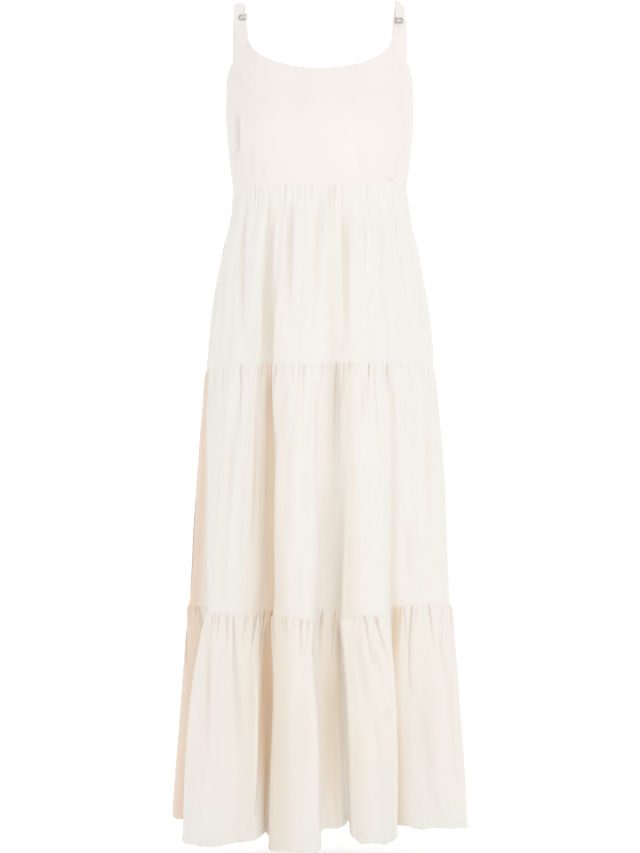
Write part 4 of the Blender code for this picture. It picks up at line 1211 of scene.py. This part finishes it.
def cloth_colour(tree, warm, light, tint):
    """The cloth's colour with painted shade: warm or rosy in the folds, and darker in creases."""
    # painted warm and rosy shade in the folds, then painted shade in the creases
    warm_shaded = mix(tree, warm, (tint.plain, tint.deep))
    rosy = mix(tree, maths(tree, "MULTIPLY", warm, -1.0), (warm_shaded, tint.rosy))
    crease = node(tree, "Attribute", {}, "Fac", attribute_name="painted_crease_shade")
    creased = mix(tree, crease, (rosy, PAINTED_CREASE_SHADE))
    return node(tree, "VectorMath", {0: creased, "Scale": light}, operation="SCALE")


def weave_cloth(tree, tint):
    """Ivory plain weave: slubby threads both ways, a slow random change of tone, and painted shade in folds
    and creases.
    """
    place = node(tree, "Attribute", {}, "Vector", attribute_name="cloth_place_and_painted_warmth")
    across, down, warm = node(tree, "SeparateXYZ", {0: place}).node.outputs
    flat = node(tree, "CombineXYZ", {0: across, 1: down})
    warp_slub = cloth_noise(tree, flat, (SLUB_FINE, SLUB_LONG))
    weft_slub = cloth_noise(tree, flat, (SLUB_LONG, SLUB_FINE))
    slow = cloth_noise(tree, flat, (9.0, 5.0), 2.0)
    turns = (maths(tree, "MULTIPLY", run, 2 * pi / THREAD_PITCH) for run in (across, down))
    weave = maths(tree, "MULTIPLY", *(maths(tree, "SINE", turn) for turn in turns))
    slubs = maths(tree, "ADD", warp_slub, weft_slub)
    shade = maths(tree, "ADD", maths(tree, "MULTIPLY", slubs, 0.06), maths(tree, "MULTIPLY", slow, 0.05))
    light = map_range(tree, shade, (0.055, 0.115), (0.975, 1.0))
    height = maths(tree, "ADD", maths(tree, "MULTIPLY", weave, 0.35), slubs)
    return {
        "Specular IOR Level": 0.22,
        "Sheen Weight": 0.12,
        "Sheen Roughness": 0.55,
        "Base Color": cloth_colour(tree, warm, light, tint),
        "Roughness": map_range(tree, slubs, (0.7, 1.3), (0.92, 0.8)),
        "Normal": bump(tree, height, 0.35, 0.00012),
    }


def sewing_thread(tree):
    inputs = {"Vector": own_places(tree), "Scale": 900.0, "Distortion": 1.5}
    twist = node(tree, "TexWave", inputs, "Fac", bands_direction="DIAGONAL")
    return {
        "Base Color": mix(tree, twist, THREADS),
        "Roughness": map_range(tree, twist, (0.0, 1.0), (0.8, 0.62)),
        "Normal": bump(tree, twist, 0.5, 0.0001),
    }


def polished_wire(tree):
    """Polished silver-coloured wire with faint rubbing."""
    rub = noise(tree, own_places(tree), 900.0, 4.0)
    return {
        "Metallic": 1.0,
        "Roughness": map_range(tree, rub, (0.3, 0.7), (0.1, 0.24)),
        "Base Color": mix(tree, rub, WIRES),
        "Normal": bump(tree, rub, 0.15, 0.00002),
    }


def pale_floor(tree):
    """White floor with a faint grain and a glow."""
    grain = noise(tree, own_places(tree), 40.0, 3.0)
    return {
        "Roughness": 0.9,
        "Emission Color": WHITE,
        "Emission Strength": FLOOR_GLOW,
        "Base Color": mix(tree, grain, FLOORS),
    }


# ---- studio


def floor():
    square = ((-1, -1), (1, -1), (1, 1), (-1, 1))
    corners = [(x * FLOOR_HALF, y * FLOOR_HALF, FLOOR_HEIGHT) for x, y in square]
    mesh_object("studio_floor", corners, [(0, 1, 2, 3)], material("pale_floor", pale_floor))


def soft_world():
    """A pale surround, white behind the dress and brighter in front than beside it."""
    world = bpy.data.worlds.new("studio")
    bpy.context.scene.world = world
    world.use_nodes = True
    tree = world.node_tree
    where = node(tree, "TexCoord", {}, "Generated")
    _, depth, height = node(tree, "SeparateXYZ", {0: where}).node.outputs
    front = map_range(tree, depth, (-1.0, 0.1), (WORLD_FRONT, WORLD_SIDE))
    behind = map_range(tree, depth, (0.1, 0.8), (0.0, WORLD_BACK - WORLD_SIDE))
    above = map_range(tree, height, (0.0, 0.7), (0.0, WORLD_ABOVE))
    level = maths(tree, "ADD", maths(tree, "ADD", front, behind), above)
    set_inputs(tree, tree.nodes["Background"], {"Strength": level, "Color": WHITE})


def lights():
    for name, place, size, power in LIGHTS:
        data = bpy.data.lights.new(name, "AREA")
        data.shape = "SQUARE"
        data.size = size
        data.energy = power
        made = add_object(name, data)
        made.location = place
        aim = Vector(LIGHT_TARGET) - Vector(place)
        made.rotation_euler = aim.to_track_quat("-Z", "Y").to_euler()


def camera():
    data = bpy.data.cameras.new("camera")
    data.sensor_fit = "AUTO"
    data.sensor_width = SENSOR
    data.lens = FOCAL_PIXELS * SENSOR / IMAGE_HEIGHT
    made = add_object("camera", data)
    made.location = (CAMERA_SIDE, -CAMERA_DISTANCE, CAMERA_HEIGHT)
    made.rotation_euler = (pi / 2, 0.0, 0.0)
    bpy.context.scene.camera = made


def colour_management():
    view = bpy.context.scene.view_settings
    view.view_transform = "Standard"
    view.look = "None"
    view.exposure = 0.0
    view.gamma = 1.0


# ---- the whole

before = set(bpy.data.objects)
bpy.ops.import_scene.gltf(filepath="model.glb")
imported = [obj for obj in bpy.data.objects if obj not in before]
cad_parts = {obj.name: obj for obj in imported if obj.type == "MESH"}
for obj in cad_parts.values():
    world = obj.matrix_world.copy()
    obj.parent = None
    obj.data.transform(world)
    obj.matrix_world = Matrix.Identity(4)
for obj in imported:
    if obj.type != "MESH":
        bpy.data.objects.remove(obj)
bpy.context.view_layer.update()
camera()
colour_management()
bodice_front()
bodice_back()
for ring in RINGS:
    shoulder_strap(ring)
    strap_ring(ring)
for tier in TIERS:
    for side in ("front", "back"):
        sheet, rows = tier_panel(tier, side)
        if tier.bottom == HEM:
            hem_stitches(side, sheet, rows)
floor()
soft_world()
lights()
